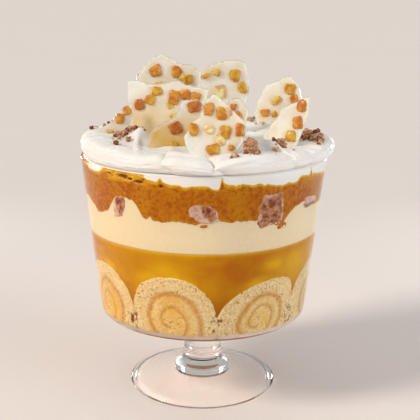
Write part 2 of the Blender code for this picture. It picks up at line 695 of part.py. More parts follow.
def build_wall_amaretti(name, material, grow=0.0):
    """A piece pressed against the glass, or with a growth the hollow round it, open to the glass."""
    azimuth, height, half_across, half_up, half_in = WALL_AMARETTI[name]
    body = broken_lump(azimuth)
    outwards = direction(azimuth)
    sideways = direction(azimuth + 90.0)
    centre = outwards * (inner_radius(height) - half_in * 0.55) + Vector((0, 0, height))
    for vertex in body.verts:
        unit = vertex.co.copy()
        offset = sideways * unit.x * (half_across + grow) + Vector((0, 0, unit.z * (half_up + grow)))
        offset += outwards * unit.y * (half_in + grow)
        point = centre + offset
        if not grow:
            limit = inner_radius(point.z) * FACET - GAP
            reach = point.xy.length
            if reach > limit:
                point.x *= limit / reach
                point.y *= limit / reach
        vertex.co = point
    if grow:
        return make_object("hollow_" + name, body, helper=True)
    return make_object(name, body, material)


def build_top_amaretti(name, material):
    """A piece lying on the cream."""
    x, y, half_across, half_deep, half_up, turn = TOP_AMARETTI[name]
    body = broken_lump(7.0 * x * 100.0)
    lowest = min(vertex.co.z for vertex in body.verts)
    sideways, inwards = direction(turn + 90.0), direction(turn + 180.0)
    seat = 0.0
    for step in range(12):
        spot = Vector((x, y, 0)) + direction(30.0 * step) * (0.6 * half_across)
        seat = max(seat, cream_surface(spot.x, spot.y) + 2 * GAP)
    for vertex in body.verts:
        unit = vertex.co.copy()
        flat = sideways * unit.x * half_across + inwards * unit.y * half_deep
        vertex.co = Vector((x, y, seat)) + flat + Vector((0, 0, (unit.z - lowest) * half_up))
    return make_object(name, body, material)


def main():
    """Build the whole trifle."""
    clear_scene()
    glass = make_material("glass", (0.86, 0.90, 0.90), 0.03, 1.0)
    jelly_look = make_material("jelly", (0.62, 0.27, 0.012), 0.15, 0.3)
    custard_look = make_material("custard", (0.88, 0.70, 0.40), 0.45)
    coulis_look = make_material("fruit_coulis", (0.58, 0.16, 0.008), 0.35)
    sponge_look = make_material("sponge", (0.83, 0.60, 0.24), 0.85)
    cream_look = make_material("cream", (0.90, 0.86, 0.80), 0.5)
    chocolate_look = make_material("white_chocolate", (0.86, 0.77, 0.60), 0.4)
    peel_look = make_material("candied_peel", (0.66, 0.22, 0.015), 0.3)
    amaretti_look = make_material("amaretti", (0.42, 0.17, 0.07), 0.85)

    build_bowl(glass)
    jelly = build_jelly(jelly_look)
    for index, variety in enumerate(ROLL_VARIETY):
        azimuth = ROLL_FIRST_AZIMUTH + index * 360.0 / ROLL_COUNT
        build_roll(f"swiss_roll_{index + 1}", azimuth, variety, sponge_look)
        subtract(jelly, build_roll_pocket(f"pocket_{index + 1}", azimuth, variety))
    custard = build_custard(custard_look)
    coulis = build_coulis(coulis_look)
    for name in WALL_AMARETTI:
        build_wall_amaretti(name, amaretti_look)
        hollow = build_wall_amaretti(name, amaretti_look, grow=1.2 * GAP)
        subtract(custard, hollow)
        subtract(coulis, hollow)
    cream = build_cream(cream_look)
    for name in SHARDS:
        build_shard(name, chocolate_look)
        subtract(cream, build_shard(name, grow=GAP))
    for name in PEEL:
        build_peel(name, peel_look)
    for name in TOP_AMARETTI:
        build_top_amaretti(name, amaretti_look)


main()
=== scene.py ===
"""Looks of a layered trifle in its footed glass bowl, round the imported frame. Metres, +Z up, front -Y."""

import logging
import math
from collections.abc import Callable, Sequence
from dataclasses import dataclass, field, replace
from enum import Enum

import bmesh
import bpy
import numpy as np
from mathutils import Matrix, Vector
from mathutils.bvhtree import BVHTree
from mathutils.geometry import delaunay_2d_cdt

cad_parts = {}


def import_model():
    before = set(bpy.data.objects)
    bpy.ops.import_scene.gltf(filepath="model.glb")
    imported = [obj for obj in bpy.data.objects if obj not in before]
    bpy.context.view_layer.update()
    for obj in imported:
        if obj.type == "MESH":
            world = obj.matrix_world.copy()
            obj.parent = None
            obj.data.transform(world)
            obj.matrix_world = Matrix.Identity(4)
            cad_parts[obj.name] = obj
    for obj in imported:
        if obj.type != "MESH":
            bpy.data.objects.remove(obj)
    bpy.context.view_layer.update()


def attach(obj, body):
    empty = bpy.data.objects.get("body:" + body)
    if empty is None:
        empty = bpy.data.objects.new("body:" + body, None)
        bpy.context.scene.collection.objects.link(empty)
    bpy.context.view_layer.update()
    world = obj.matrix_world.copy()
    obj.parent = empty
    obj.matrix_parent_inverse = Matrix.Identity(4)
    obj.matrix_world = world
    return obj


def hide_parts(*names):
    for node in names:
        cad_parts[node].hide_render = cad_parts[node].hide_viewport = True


LOG = logging.getLogger("trifle")
Array = np.ndarray
Piece = bpy.types.Object
Material = bpy.types.Material
Node = bpy.types.Node
Faces = list[Sequence[int]]
Colour = tuple[float, float, float]
Table = tuple[tuple[float, ...], ...]
MM = 0.001
TINY = 1e-12
BODY = "root"
UP = np.array([0, 0, 1.0])


# ---- numbers over arrays --------------------------------------------------------------------
def outward(azimuth: Array) -> Array:
    """Directions out from the axis.

    Args:
        azimuth: Degrees from the front, positive to the right.

    Returns:
        Unit vectors, with one more axis of length 3.
    """
    angle = np.radians(azimuth)
    return np.stack([np.sin(angle), -np.cos(angle), np.zeros_like(angle)], axis=-1)


def on_wall(azimuth: Array, radius: Array | float, height: Array) -> Array:
    """Points at azimuths in degrees, radii and heights in metres."""
    return outward(azimuth) * np.asarray(radius)[..., None] + UP * height[..., None]


def all_round(count: int) -> Array:
    """Evenly spaced azimuths round the bowl, in degrees."""
    return np.arange(count) * 360.0 / count


def away(azimuth: Array, centre: float) -> Array:
    """Signed difference of azimuths, from -180 to 180 degrees."""
    return (azimuth - centre + 180.0) % 360.0 - 180.0


def humps(table: Table, azimuth: Array) -> Array:
    """Sum of the rises of a table of humps round the bowl.

    Args:
        table: Azimuth, half-width in degrees, rise in metres and squareness of each hump.
        azimuth: Where to sum them, in degrees.

    Returns:
        The summed rise at each azimuth.
    """
    total = np.zeros_like(azimuth, dtype=float)
    for centre, width, rise, power in table:
        total += rise * np.exp(-(np.abs(away(azimuth, centre) / width) ** power))
    return total


def eased(value: Array, low: float, high: float) -> Array:
    """Smooth step of a value from 0 at low to 1 at high."""
    share = np.clip((value - low) / (high - low), 0.0, 1.0)
    return share * share * (3.0 - 2.0 * share)


def hashed(cell: Array, seed: int) -> Array:
    """A repeatable number from 0 to 1 for each whole-number cell."""
    mixed = cell[..., 0] * 73856093 ^ cell[..., 1] * 19349663 ^ cell[..., 2] * 83492791
    mixed = (mixed ^ (seed * 2654435761)) & 0xFFFFFFFF
    mixed = ((mixed ^ (mixed >> 15)) * 2246822519) & 0xFFFFFFFF
    mixed = ((mixed ^ (mixed >> 13)) * 3266489917) & 0xFFFFFFFF
    return (mixed ^ (mixed >> 16)) / 4294967295.0


def noise(points: Array, size: float, seed: int = 0) -> Array:
    """Smooth lattice noise.

    Args:
        points: Points, with a last axis of length 3.
        size: Distance between lattice points, in metres.
        seed: Which noise.

    Returns:
        A value from -1 to 1 for each point.
    """
    grid = points / size
    cell = np.floor(grid).astype(np.int64)
    part = grid - cell
    part = part * part * (3.0 - 2.0 * part)
    total = np.zeros(points.shape[:-1])
    for corner in np.ndindex(2, 2, 2):
        weight = np.prod(np.where(np.array(corner) == 1, part, 1.0 - part), axis=-1)
        total += weight * hashed(cell + np.array(corner), seed)
    return 2.0 * total - 1.0


def squashed(first: Array, second: Array, power: Array | float) -> Array:
    """Distance from the middle of a squared-off round: 1 on its edge."""
    return (np.abs(first) ** power + np.abs(second) ** power) ** (1 / power)


def rough(points: Array, size: float, octaves: int = 3, seed: int = 0) -> Array:
    """Noise summed over octaves, each half the size and half the height of the one before."""
    total = np.zeros(points.shape[:-1])
    for octave in range(octaves):
        total += noise(points, size / 2**octave, seed + 17 * octave) / 2**octave
    return total


def pits(points: Array, size: float, share: float, seed: int = 0) -> Array:
    """Round hollows scattered in space, one to a cell at most.

    Args:
        points: Points, with a last axis of length 3.
        size: Size of a cell, in metres.
        share: Share of the cells that hold a hollow.
        seed: Which scatter.

    Returns:
        Depth from 0 to 1 at each point.
    """
    grid = points / size
    base = np.floor(grid).astype(np.int64)
    deepest = np.zeros(points.shape[:-1])
    for corner in np.ndindex(3, 3, 3):
        cell = base + np.array(corner) - 1
        centre = np.stack([hashed(cell, seed + k) for k in (1, 2, 3)], axis=-1) + cell
        reach = 0.25 + 0.45 * hashed(cell, seed + 4)
        apart = np.linalg.norm(grid - centre, axis=-1) / reach
        depth = np.clip(1.0 - apart * apart, 0.0, 1.0) * (hashed(cell, seed + 5) < share)
        deepest = np.maximum(deepest, depth * reach / 0.7)
    return deepest


# ---- meshes ---------------------------------------------------------------------------------
def grid_faces(rows: int, columns: int) -> Faces:
    """Quads of a surface laid out in rows of points, its columns closed into a ring."""
    row, column = np.meshgrid(np.arange(rows - 1), np.arange(columns), indexing="ij")
    after = (column + 1) % columns
    corners = (row * columns + column, row * columns + after)
    above = ((row + 1) * columns + after, (row + 1) * columns + column)
    return np.stack([*corners, *above], axis=-1).reshape(-1, 4).tolist()


def skin_of(rings: Array, bottom: Array, top: Array) -> tuple[Array, Faces]:
    """A closed body from rings of points between two points on the axis.

    Args:
        rings: Points as rows, columns and 3, from the bottom to the top.
        bottom: Point that closes the first ring.
        top: Point that closes the last ring.

    Returns:
        The points and the faces.
    """
    rows, columns = rings.shape[:2]
    points = np.vstack([rings.reshape(-1, 3), bottom, top])
    faces = grid_faces(rows, columns)
    low, last = rows * columns, (rows - 1) * columns
    for step in range(columns):
        after = (step + 1) % columns
        faces += [(low, after, step), (low + 1, last + step, last + after)]
    return points, faces


def volume_of(points: Array, faces: Faces) -> float:
    """Signed volume inside a closed surface: negative when its faces look inwards."""
    corners = np.array([(face[0], face[k], face[k + 1]) for face in faces for k in range(1, len(face) - 1)])
    first, second, third = (points[corners[:, k]] for k in range(3))
    return float((first * np.cross(second, third)).sum() / 6.0)


def make_object(
    name: str, points: Array, faces: Faces, traits: dict[str, Array] | None = None
) -> Piece:
    """Turn points and faces into a smooth-shaded object.

    Args:
        name: The piece's name.
        points: Its points, in metres.
        faces: Its faces, as point numbers.
        traits: Named values, one for each point, that its material reads.

    Returns:
        The new object.
    """
    if volume_of(points, faces) < 0.0:
        faces = [face[::-1] for face in faces]
    mesh = bpy.data.meshes.new(name)
    mesh.from_pydata(points.tolist(), [], faces)
    mesh.polygons.foreach_set("use_smooth", [True] * len(mesh.polygons))
    for trait, values in (traits or {}).items():
        layer = mesh.attributes.new(trait, "FLOAT", "POINT")
        layer.data.foreach_set("value", np.asarray(values, np.float32).reshape(-1))
    mesh.update()
    piece = bpy.data.objects.new(name, mesh)
    bpy.context.scene.collection.objects.link(piece)
    return piece


def settle(
    piece: Piece, node: str = "", finish: Material | None = None
) -> Piece:
    """Dress a piece and tie it to the frame.

    Args:
        piece: The piece.
        node: The solid that it stands for, if there is one.
        finish: Its material, if it has none yet.

    Returns:
        The piece.
    """
    if finish is not None:
        piece.data.materials.append(finish)
    if node:
        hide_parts(node)
    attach(piece, BODY)
    return piece


def face_traits(table: Sequence[tuple[str, Array, tuple[float, float]]]) -> dict[str, Array]:
    """Traits of a body made of a face and the ring behind it, from the face's values.

    Args:
        table: Name, values from the face's middle out, and the values of the two points that close it.

    Returns:
        The traits, in the order of the body's points.
    """
    traits = {}
    for label, values, ends in table:
        traits[label] = np.append(np.vstack([values[-1:], values[::-1]]).reshape(-1), ends)
    return traits


def unit_shape(make: Callable[[bmesh.types.BMesh], object]) -> tuple[Array, Faces]:
    """Points and faces of a shape that a bmesh operator makes."""
    body = bmesh.new()
    make(body)
    points = np.array([vertex.co[:] for vertex in body.verts])
    faces = [[vertex.index for vertex in face.verts] for face in body.faces]
    body.free()
    return points, faces


def ball(subdivisions: int) -> tuple[Array, Faces]:
    """Points and faces of a unit ball of near-equal triangles."""
    return unit_shape(
        lambda body: bmesh.ops.create_icosphere(body, subdivisions=subdivisions, radius=1.0)
    )


def block(cuts: int) -> tuple[Array, Faces]:
    """Points and faces of a unit block whose sides are cut into squares."""

    def make(body: bmesh.types.BMesh) -> None:
        """Cut a cube's edges."""
        bmesh.ops.create_cube(body, size=2.0)
        bmesh.ops.subdivide_edges(body, edges=body.edges[:], cuts=cuts, use_grid_fill=True)
        body.verts.index_update()

    return unit_shape(make)


@dataclass
class Batch:
    """Lumps gathered into one mesh, each with a number that picks its finish."""

    points: list[Array] = field(default_factory=list)
    faces: Faces = field(default_factory=list)
    finish: list[int] = field(default_factory=list)
    count: int = 0

    def add(self, points: Array, faces: Faces, finish: int = 0) -> None:
        """Add one lump.

        Args:
            points: Its points.
            faces: Its faces, numbered from 0.
            finish: Number of its material.
        """
        self.points.append(points)
        self.faces += [[self.count + corner for corner in face] for face in faces]
        self.finish += [finish] * len(faces)
        self.count += len(points)

    def build(self, name: str, materials: Sequence[Material]) -> Piece:
        """Make the piece.

        Args:
            name: The piece's name.
            materials: Its materials, in the order of their numbers.

        Returns:
            The new object.
        """
        piece = make_object(name, np.vstack(self.points), self.faces)
        for material in materials:
            piece.data.materials.append(material)
        piece.data.polygons.foreach_set("material_index", self.finish)
        return piece


# ---- material tools -------------------------------------------------------------------------
Socket = bpy.types.NodeSocket
Feed = Socket | float | tuple[float, ...]


@dataclass
class Bench:
    """Places nodes in one tree and links them."""

    tree: bpy.types.NodeTree

    def add(
        self, kind: str, feeds: dict[str | int, Feed] | None = None, **settings: object
    ) -> Node:
        """Place a node.

        Args:
            kind: The node's type, without the words that every type starts with.
            feeds: A link or a value for each input.
            settings: Properties of the node.

        Returns:
            The new node.
        """
        node = self.tree.nodes.new(kind if kind.startswith("Node") else "ShaderNode" + kind)
        for key, value in settings.items():
            setattr(node, key, value)
        for key, value in (feeds or {}).items():
            self.feed(node.inputs[key], value)
        return node

    def feed(self, socket: Socket, value: Feed) -> None:
        """Link a socket to another or set its value."""
        if isinstance(value, bpy.types.NodeSocket):
            self.tree.links.new(value, socket)
        elif isinstance(value, tuple) and socket.type == "RGBA":
            socket.default_value = (*value, 1.0)
        else:
            socket.default_value = value

    def place(self) -> Socket:
        """Where a point lies in the object."""
        return self.add("TexCoord").outputs["Object"]

    def trait(self, name: str) -> Socket:
        """A value that the mesh carries at each point."""
        return self.add("Attribute", attribute_name=name).outputs["Fac"]

    def cloud(self, scale: Feed, detail: float = 3.0, twist: float = 0.0, at: Socket | None = None) -> Socket:
        """Cloudy noise from 0 to 1, over the object or over another place."""
        where = self.place() if at is None else at
        feeds = {"Vector": where, "Scale": scale, "Detail": detail, "Distortion": twist}
        return self.add("TexNoise", feeds).outputs["Fac"]

    def sum(self, operation: str, first: Feed, second: Feed = 0.0) -> Socket:
        """A sum of two numbers by a named operation."""
        return self.add("Math", {0: first, 1: second}, operation=operation).outputs[0]

    def times(self, first: Feed, second: Feed) -> Socket:
        """The product of two numbers."""
        return self.sum("MULTIPLY", first, second)

    def span(self, value: Feed, low: Feed, high: Feed, start: Feed = 0.0, end: Feed = 1.0) -> Socket:
        """A number moved from one range to another and kept inside it."""
        feeds = {"Value": value, "From Min": low, "From Max": high, "To Min": start, "To Max": end}
        return self.add("MapRange", feeds).outputs["Result"]

    def mix(self, share: Feed, first: Feed, second: Feed, way: str = "MIX") -> Socket:
        """A mix of two colours."""
        feeds = {0: share, 6: first, 7: second}
        return self.add("Mix", feeds, data_type="RGBA", blend_type=way).outputs[2]

    def over(self, base: Feed, *layers: tuple[Feed, Feed]) -> Socket:
        """Colours laid one over another, each through its own mask."""
        for mask, colour in layers:
            base = self.mix(mask, base, colour)
        return base

    def bump(self, height: Feed, strength: float, depth: float) -> Socket:
        """A bumped normal; the depth is in metres."""
        return self.add("Bump", {"Height": height, "Strength": strength, "Distance": depth}).outputs["Normal"]

    def dress(self, shader: Node, colour: Feed, height: Feed = 0.0, strength: float = 0.0,
              depth: float = 0.0) -> None:
        """Feed a shader's colour, and its normal where there is a height to bump it with."""
        self.feed(shader.inputs["Base Color"], colour)
        if strength:
            self.feed(shader.inputs["Normal"], self.bump(height, strength, depth))


class Kind(Enum):
    """Kinds of socket on a shared effect."""

    VALUE = "NodeSocketFloat"
    COLOUR = "NodeSocketColor"
    PLACE = "NodeSocketVector"


@dataclass(frozen=True)
class Effect:
    """A shader node group that several materials place with their own values."""

    name: str
    inputs: dict[str, Kind]
    outputs: dict[str, Kind]
    draw: Callable[[Bench, bpy.types.NodeOutputs], dict[str, Socket]]

    def group(self) -> bpy.types.NodeTree:
        """The node group, built the first time that it is asked for."""
        tree = bpy.data.node_groups.get(self.name)
        if tree is not None:
            return tree
        tree = bpy.data.node_groups.new(self.name, "ShaderNodeTree")
        for sockets, way in ((self.inputs, "INPUT"), (self.outputs, "OUTPUT")):
            for label, kind in sockets.items():
                tree.interface.new_socket(label, in_out=way, socket_type=kind.value)
        bench = Bench(tree)
        bench.add("NodeGroupOutput", self.draw(bench, bench.add("NodeGroupInput").outputs))
        return tree

    def use(self, bench: Bench, *values: Feed) -> Node:
        """Place the effect over the object, with values for its inputs after the first, Place."""
        feeds = dict(zip(self.inputs, (bench.place(), *values)))
        return bench.add("Group", feeds, node_tree=self.group())


def draw_mottle(bench: Bench, given: bpy.types.NodeOutputs) -> dict[str, Socket]:
    """Two colours mixed by a cloud."""
    cloud = bench.cloud(given["Scale"], 4.0, 0.4, given["Place"])
    share = bench.span(cloud, given["Low"], given["High"])
    return {"Colour": bench.mix(share, given["Colour A"], given["Colour B"]), "Share": share}


def draw_pores(bench: Bench, given: bpy.types.NodeOutputs) -> dict[str, Socket]:
    """Small round pores of uneven size, and the height that they leave."""
    place, scale = given["Place"], given["Scale"]
    uneven = bench.span(bench.cloud(scale, 2.0, 0.0, place), 0.35, 0.75, 0.25, 1.6)
    size = bench.times(given["Size"], uneven)
    near = bench.add("TexVoronoi", {"Vector": place, "Scale": scale}, feature="F1").outputs["Distance"]
    mask = bench.span(near, bench.times(size, 0.55), size, 1.0, 0.0)
    grain = bench.cloud(bench.times(scale, 2.1), 3.0, 0.0, place)
    return {"Mask": mask, "Height": bench.sum("SUBTRACT", bench.times(grain, 0.6), mask)}


MOTTLE = Effect(
    "mottle",
    {"Place": Kind.PLACE, "Scale": Kind.VALUE, "Low": Kind.VALUE, "High": Kind.VALUE,
     "Colour A": Kind.COLOUR, "Colour B": Kind.COLOUR},
    {"Colour": Kind.COLOUR, "Share": Kind.VALUE},
    draw_mottle,
)
PORES = Effect(
    "pores",
    {"Place": Kind.PLACE, "Scale": Kind.VALUE, "Size": Kind.VALUE},
    {"Mask": Kind.VALUE, "Height": Kind.VALUE},
    draw_pores,
)


@dataclass(frozen=True)
class Surface:
    """How a finish takes light, the same all over it."""

    roughness: float
    specular: float = 0.5
    coat: float = 0.0
    bleed: float = 0.0
    bleed_reach: float = 0.005
    bleed_colour: Colour = (1.0, 0.6, 0.3)

    def set_on(self, shader: Node) -> None:
        """Write these values on a Principled shader's own sockets."""
        values = {
            "Roughness": self.roughness, "Specular IOR Level": self.specular, "Coat Weight": self.coat,
            "Coat Roughness": 0.12, "Subsurface Weight": self.bleed,
            "Subsurface Scale": self.bleed_reach, "Subsurface Radius": self.bleed_colour,
        }
        for key, value in values.items():
            shader.inputs[key].default_value = value


@dataclass(frozen=True)
class Finish:
    """A named material with its own way of taking light."""

    name: str
    surface: Surface

    def make(self) -> Material:
        """Build the material."""
        material = bpy.data.materials.new(self.name)
        material.use_nodes = True
        shader = material.node_tree.nodes["Principled BSDF"]
        self.surface.set_on(shader)
        self.paint(Bench(material.node_tree), shader)
        return material

    def paint(self, bench: Bench, shader: Node) -> None:
        """Feed the shader with what varies over the surface."""
        raise NotImplementedError


@dataclass(frozen=True)
class GlassFinish(Finish):
    """Clear pressed glass that lets lamps through to the food, and less of them through its thick foot."""

    tint: Colour = (0.985, 0.992, 0.990)
    mirror: Colour = (0.25, 0.225, 0.18)
    thick: Colour = (0.755, 0.685, 0.640)
    thick_below: tuple[float, float] = (0.060, 0.074)

    def paint(self, bench: Bench, shader: Node) -> None:
        """Clear glass with a faint waviness."""
        values = {
            "Base Color": self.tint, "Specular Tint": self.mirror, "Transmission Weight": 1.0, "IOR": 1.48,
        }
        for key, value in values.items():
            bench.feed(shader.inputs[key], value)
        bench.feed(shader.inputs["Normal"], bench.bump(bench.cloud(22.0, 1.0), 0.10, 0.002))
        height = bench.add("SeparateXYZ", {0: bench.place()}).outputs["Z"]
        shade = bench.mix(bench.span(height, *self.thick_below), self.thick, self.tint)
        clear = bench.add("BsdfTransparent", {"Color": shade})
        shadow = bench.add("LightPath").outputs["Is Shadow Ray"]
        mixed = bench.add("MixShader", {0: shadow, 1: shader.outputs[0], 2: clear.outputs[0]})
        bench.feed(bench.tree.nodes["Material Output"].inputs["Surface"], mixed.outputs[0])


@dataclass(frozen=True)
class JellyFinish(Finish):
    """Cloudy amber jelly, with painted light where light would come through, painted shade low down and in
    its corners, and a painted reflection of the table under it.
    """

    light: Colour = (0.60, 0.27, 0.002)
    middle: Colour = (0.50, 0.150, 0.001)
    # painted shade, low down and in the corners
    deep: Colour = (0.26, 0.050, 0.002)
    # painted light, where light would come through the jelly
    painted_glow: Colour = (0.80, 0.47, 0.004)
    # painted reflection of the table, seen through the glass under the jelly
    under: Colour = (0.86, 0.66, 0.55)

    def paint(self, bench: Bench, shader: Node) -> None:
        """Slow clouds of two ambers, with a painted glow and a painted shade that the mesh carries, and a
        painted reflection of the table on the underside.
        """
        base = MOTTLE.use(bench, 26.0, 0.36, 0.66, self.middle, self.light).outputs["Colour"]
        base = bench.over(base, (bench.trait("painted_glow"), self.painted_glow), (bench.trait("shade"), self.deep))
        base = bench.mix(bench.trait("off_table_reflection"), self.under, base)
        fine = bench.span(bench.cloud(260.0), 0.3, 0.7, 0.93, 1.05)
        bench.dress(shader, bench.mix(1.0, base, fine, "MULTIPLY"))


@dataclass(frozen=True)
class CustardFinish(Finish):
    """Set custard, almost even, with a faint cloudiness."""

    pale: Colour = (0.85, 0.715, 0.485)
    rich: Colour = (0.84, 0.665, 0.415)

    def paint(self, bench: Bench, shader: Node) -> None:
        """Soft clouds and a fine grain."""
        base = MOTTLE.use(bench, 18.0, 0.3, 0.8, self.pale, self.rich).outputs["Colour"]
        fine = bench.span(bench.cloud(420.0, 2.0), 0.3, 0.7, 0.975, 1.02)
        bench.dress(shader, bench.mix(1.0, base, fine, "MULTIPLY"))


@dataclass(frozen=True)
class CoulisFinish(Finish):
    """Thick orange coulis full of fruit pulp, yellow at its edges, with painted shade in the gaps where it
    leaves the glass.
    """

    orange: Colour = (0.50, 0.136, 0.002)
    golden: Colour = (0.57, 0.220, 0.002)
    red: Colour = (0.38, 0.075, 0.002)
    fleck: Colour = (0.78, 0.46, 0.07)
    pulp: Colour = (0.78, 0.45, 0.010)
    # painted shade in the gaps
    gap: Colour = (0.20, 0.026, 0.006)

    def paint(self, bench: Bench, shader: Node) -> None:
        """Clouds, grain and flecks, then the edge and the painted shade of the gaps, which the mesh carries.
        """
        base = MOTTLE.use(bench, 62.0, 0.36, 0.66, self.orange, self.golden).outputs["Colour"]
        dark = MOTTLE.use(bench, 150.0, 0.50, 0.72, self.orange, self.red).outputs["Share"]
        coarse = bench.cloud(380.0, 6.0, 0.8)
        grain = PORES.use(bench, 520.0, 0.42).outputs
        flecks = bench.times(grain["Mask"], bench.span(bench.cloud(90.0), 0.5, 0.7))
        base = bench.over(
            base,
            (bench.times(dark, 0.60), self.red),
            (bench.span(coarse, 0.51, 0.62, 0.0, 0.9), self.red),
            (bench.span(coarse, 0.46, 0.36, 0.0, 0.8), self.golden),
            (bench.times(flecks, 0.55), self.fleck),
            (bench.trait("pulp"), self.pulp),
            (bench.trait("gap"), self.gap),
        )
        bench.dress(shader, base, bench.sum("ADD", grain["Height"], coarse), 0.6, 0.0008)


@dataclass(frozen=True)
class CreamFinish(Finish):
    """Softly whipped cream."""

    white: Colour = (0.905, 0.88, 0.845)
    warm: Colour = (0.91, 0.865, 0.80)

    def paint(self, bench: Bench, shader: Node) -> None:
        """A barely warmer shade in places, and the tiny bubbles of whipped cream."""
        base = MOTTLE.use(bench, 30.0, 0.35, 0.8, self.white, self.warm).outputs["Colour"]
        bubbles = bench.times(PORES.use(bench, 900.0, 0.30).outputs["Height"], 0.12)
        bench.dress(shader, base, bench.sum("ADD", bench.cloud(130.0, 4.0), bubbles), 0.35, 0.0012)


@dataclass(frozen=True)
class SpongeFinish(Finish):
    """Pale sponge with an open crumb, yellow where syrup has soaked in and amber along its filling."""

    crumb: Colour = (0.75, 0.53, 0.22)
    pale: Colour = (0.90, 0.75, 0.46)
    soaked: Colour = (0.82, 0.47, 0.060)
    filling: Colour = (0.60, 0.25, 0.030)
    brown: Colour = (0.42, 0.11, 0.035)
    wine: Colour = (0.24, 0.025, 0.015)
    # painted reflection of the table, seen through the glass at the bottom of each slice
    under: Colour = (0.95, 0.78, 0.68)

    def paint(self, bench: Bench, shader: Node) -> None:
        """Mottled crumb, syrup, soaked lines, painted shade in the pores, brown specks, and a painted
        reflection of the table at the bottom.
        """
        base = MOTTLE.use(bench, 620.0, 0.36, 0.62, self.crumb, self.pale).outputs["Colour"]
        syrup = bench.times(bench.trait("soak"), bench.span(bench.cloud(240.0), 0.3, 0.65, 0.6, 1.0))
        line = bench.times(bench.trait("filling"), bench.span(bench.cloud(380.0), 0.3, 0.6, 0.7, 1.0))
        pores = PORES.use(bench, 820.0, 0.42).outputs
        specks = PORES.use(bench, 430.0, 0.38).outputs["Mask"]
        base = bench.over(
            base,
            (syrup, self.soaked),
            (line, self.filling),
            # painted shade in the pores
            (bench.times(pores["Mask"], 0.30), self.filling),
            (bench.times(specks, bench.trait("specks")), self.brown),
            (bench.trait("wine"), self.wine),
            (bench.trait("under"), self.under),
        )
        bench.dress(shader, base, bench.sum("SUBTRACT", pores["Height"], specks), 0.5, 0.0008)


@dataclass(frozen=True)
class ChocolateFinish(Finish):
    """White chocolate: ivory, with yellower streaks, a painted highlight on its broken edge and a painted
    warm glow low down.
    """

    ivory: Colour = (0.79, 0.725, 0.575)
    cream: Colour = (0.85, 0.83, 0.76)
    # painted highlight on the broken edge
    edge: Colour = (0.93, 0.90, 0.81)
    # painted warm glow low on each shard, and a tint round the peel
    amber: Colour = (0.74, 0.46, 0.085)

    def paint(self, bench: Bench, shader: Node) -> None:
        """Clouds of two ivories, a painted highlight on the edge, and amber for the painted glow low on each
        shard and a tint round the peel.
        """
        base = MOTTLE.use(bench, 70.0, 0.36, 0.60, self.ivory, self.cream).outputs["Colour"]
        base = bench.over(base, (bench.trait("edge"), self.edge), (bench.trait("painted_glow_and_tint"), self.amber))
        fine = bench.sum("ADD", bench.cloud(190.0, 5.0), bench.times(bench.cloud(60.0), 2.2))
        bench.dress(shader, base, fine, 0.40, 0.0012)


@dataclass(frozen=True)
class PeelFinish(Finish):
    """Sticky candied peel of one shade, lighter and darker in its flesh."""

    shade: Colour

    def paint(self, bench: Bench, shader: Node) -> None:
        """The shade with clouds and small crystals of sugar."""
        red, green, blue = self.shade
        deep = (red * 0.85, green * 0.55, blue * 0.5)
        light = (min(1.0, red * 1.18 + 0.04), min(1.0, green * 1.55 + 0.06), blue * 1.6 + 0.02)
        base = MOTTLE.use(bench, 210.0, 0.38, 0.62, deep, light).outputs["Colour"]
        sugar = bench.times(PORES.use(bench, 900.0, 0.30).outputs["Mask"], 0.25)
        rugged = bench.cloud(420.0, 4.0)
        bench.dress(shader, bench.over(base, (0.25, self.shade), (sugar, light)), rugged, 0.45, 0.0010)
        bench.feed(shader.inputs["Roughness"], bench.span(rugged, 0.3, 0.7, 0.28, 0.5))


@dataclass(frozen=True)
class AmarettiFinish(Finish):
    """Broken almond biscuit: tan crumb, darker crust, and open pores and pits with painted shade in them."""

    tan: Colour = (0.62, 0.29, 0.14)
    pale: Colour = (0.82, 0.53, 0.33)
    crust: Colour = (0.20, 0.035, 0.012)

    def paint(self, bench: Bench, shader: Node) -> None:
        """Mottled crumb, with painted shade in its pores and pits."""
        base = MOTTLE.use(bench, 330.0, 0.38, 0.66, self.tan, self.pale).outputs["Colour"]
        dark = MOTTLE.use(bench, 150.0, 0.50, 0.68, self.tan, self.crust).outputs["Share"]
        pores = PORES.use(bench, 640.0, 0.46).outputs
        # darker crust in clouds, and painted shade in the pores and pits
        masks = (bench.times(dark, 0.70), bench.times(pores["Mask"], 0.7), bench.trait("pit_shade"))
        base = bench.over(base, *((mask, self.crust) for mask in masks))
        bench.dress(shader, base, pores["Height"], 0.9, 0.0012)


@dataclass(frozen=True)
class SoakedFinish(Finish):
    """Amaretti that lies wet against the glass, with a pale smear at its edges."""

    milky: Colour = (0.76, 0.55, 0.46)
    wine: Colour = (0.17, 0.020, 0.012)
    brown: Colour = (0.34, 0.105, 0.035)
    light: Colour = (0.60, 0.30, 0.16)

    def paint(self, bench: Bench, shader: Node) -> None:
        """Brown crumb, wine-dark bits, painted shade in the holes, and the milky smear that the mesh carries.
        """
        base = MOTTLE.use(bench, 300.0, 0.38, 0.64, self.brown, self.light).outputs["Colour"]
        spots = MOTTLE.use(bench, 420.0, 0.52, 0.66, self.brown, self.wine).outputs["Share"]
        grain = bench.span(bench.cloud(420.0, 4.0, 0.5), 0.36, 0.52, 0.45, 1.0)
        base = bench.over(
            base,
            (bench.times(spots, 0.7), self.wine),
            # painted shade in the holes, and darker crumb
            (bench.times(bench.trait("dark"), 0.8), self.wine),
            (bench.times(bench.trait("halo"), grain), self.milky),
        )
        bench.dress(shader, base, bench.cloud(500.0), 0.4, 0.0008)


@dataclass(frozen=True)
class FloorFinish(Finish):
    """A pale, plain floor."""

    pale: Colour = (0.86, 0.79, 0.755)
    other: Colour = (0.84, 0.78, 0.750)

    def paint(self, bench: Bench, shader: Node) -> None:
        """Two near-equal pale tones in wide clouds."""
        bench.dress(shader, MOTTLE.use(bench, 3.0, 0.3, 0.7, self.pale, self.other).outputs["Colour"])


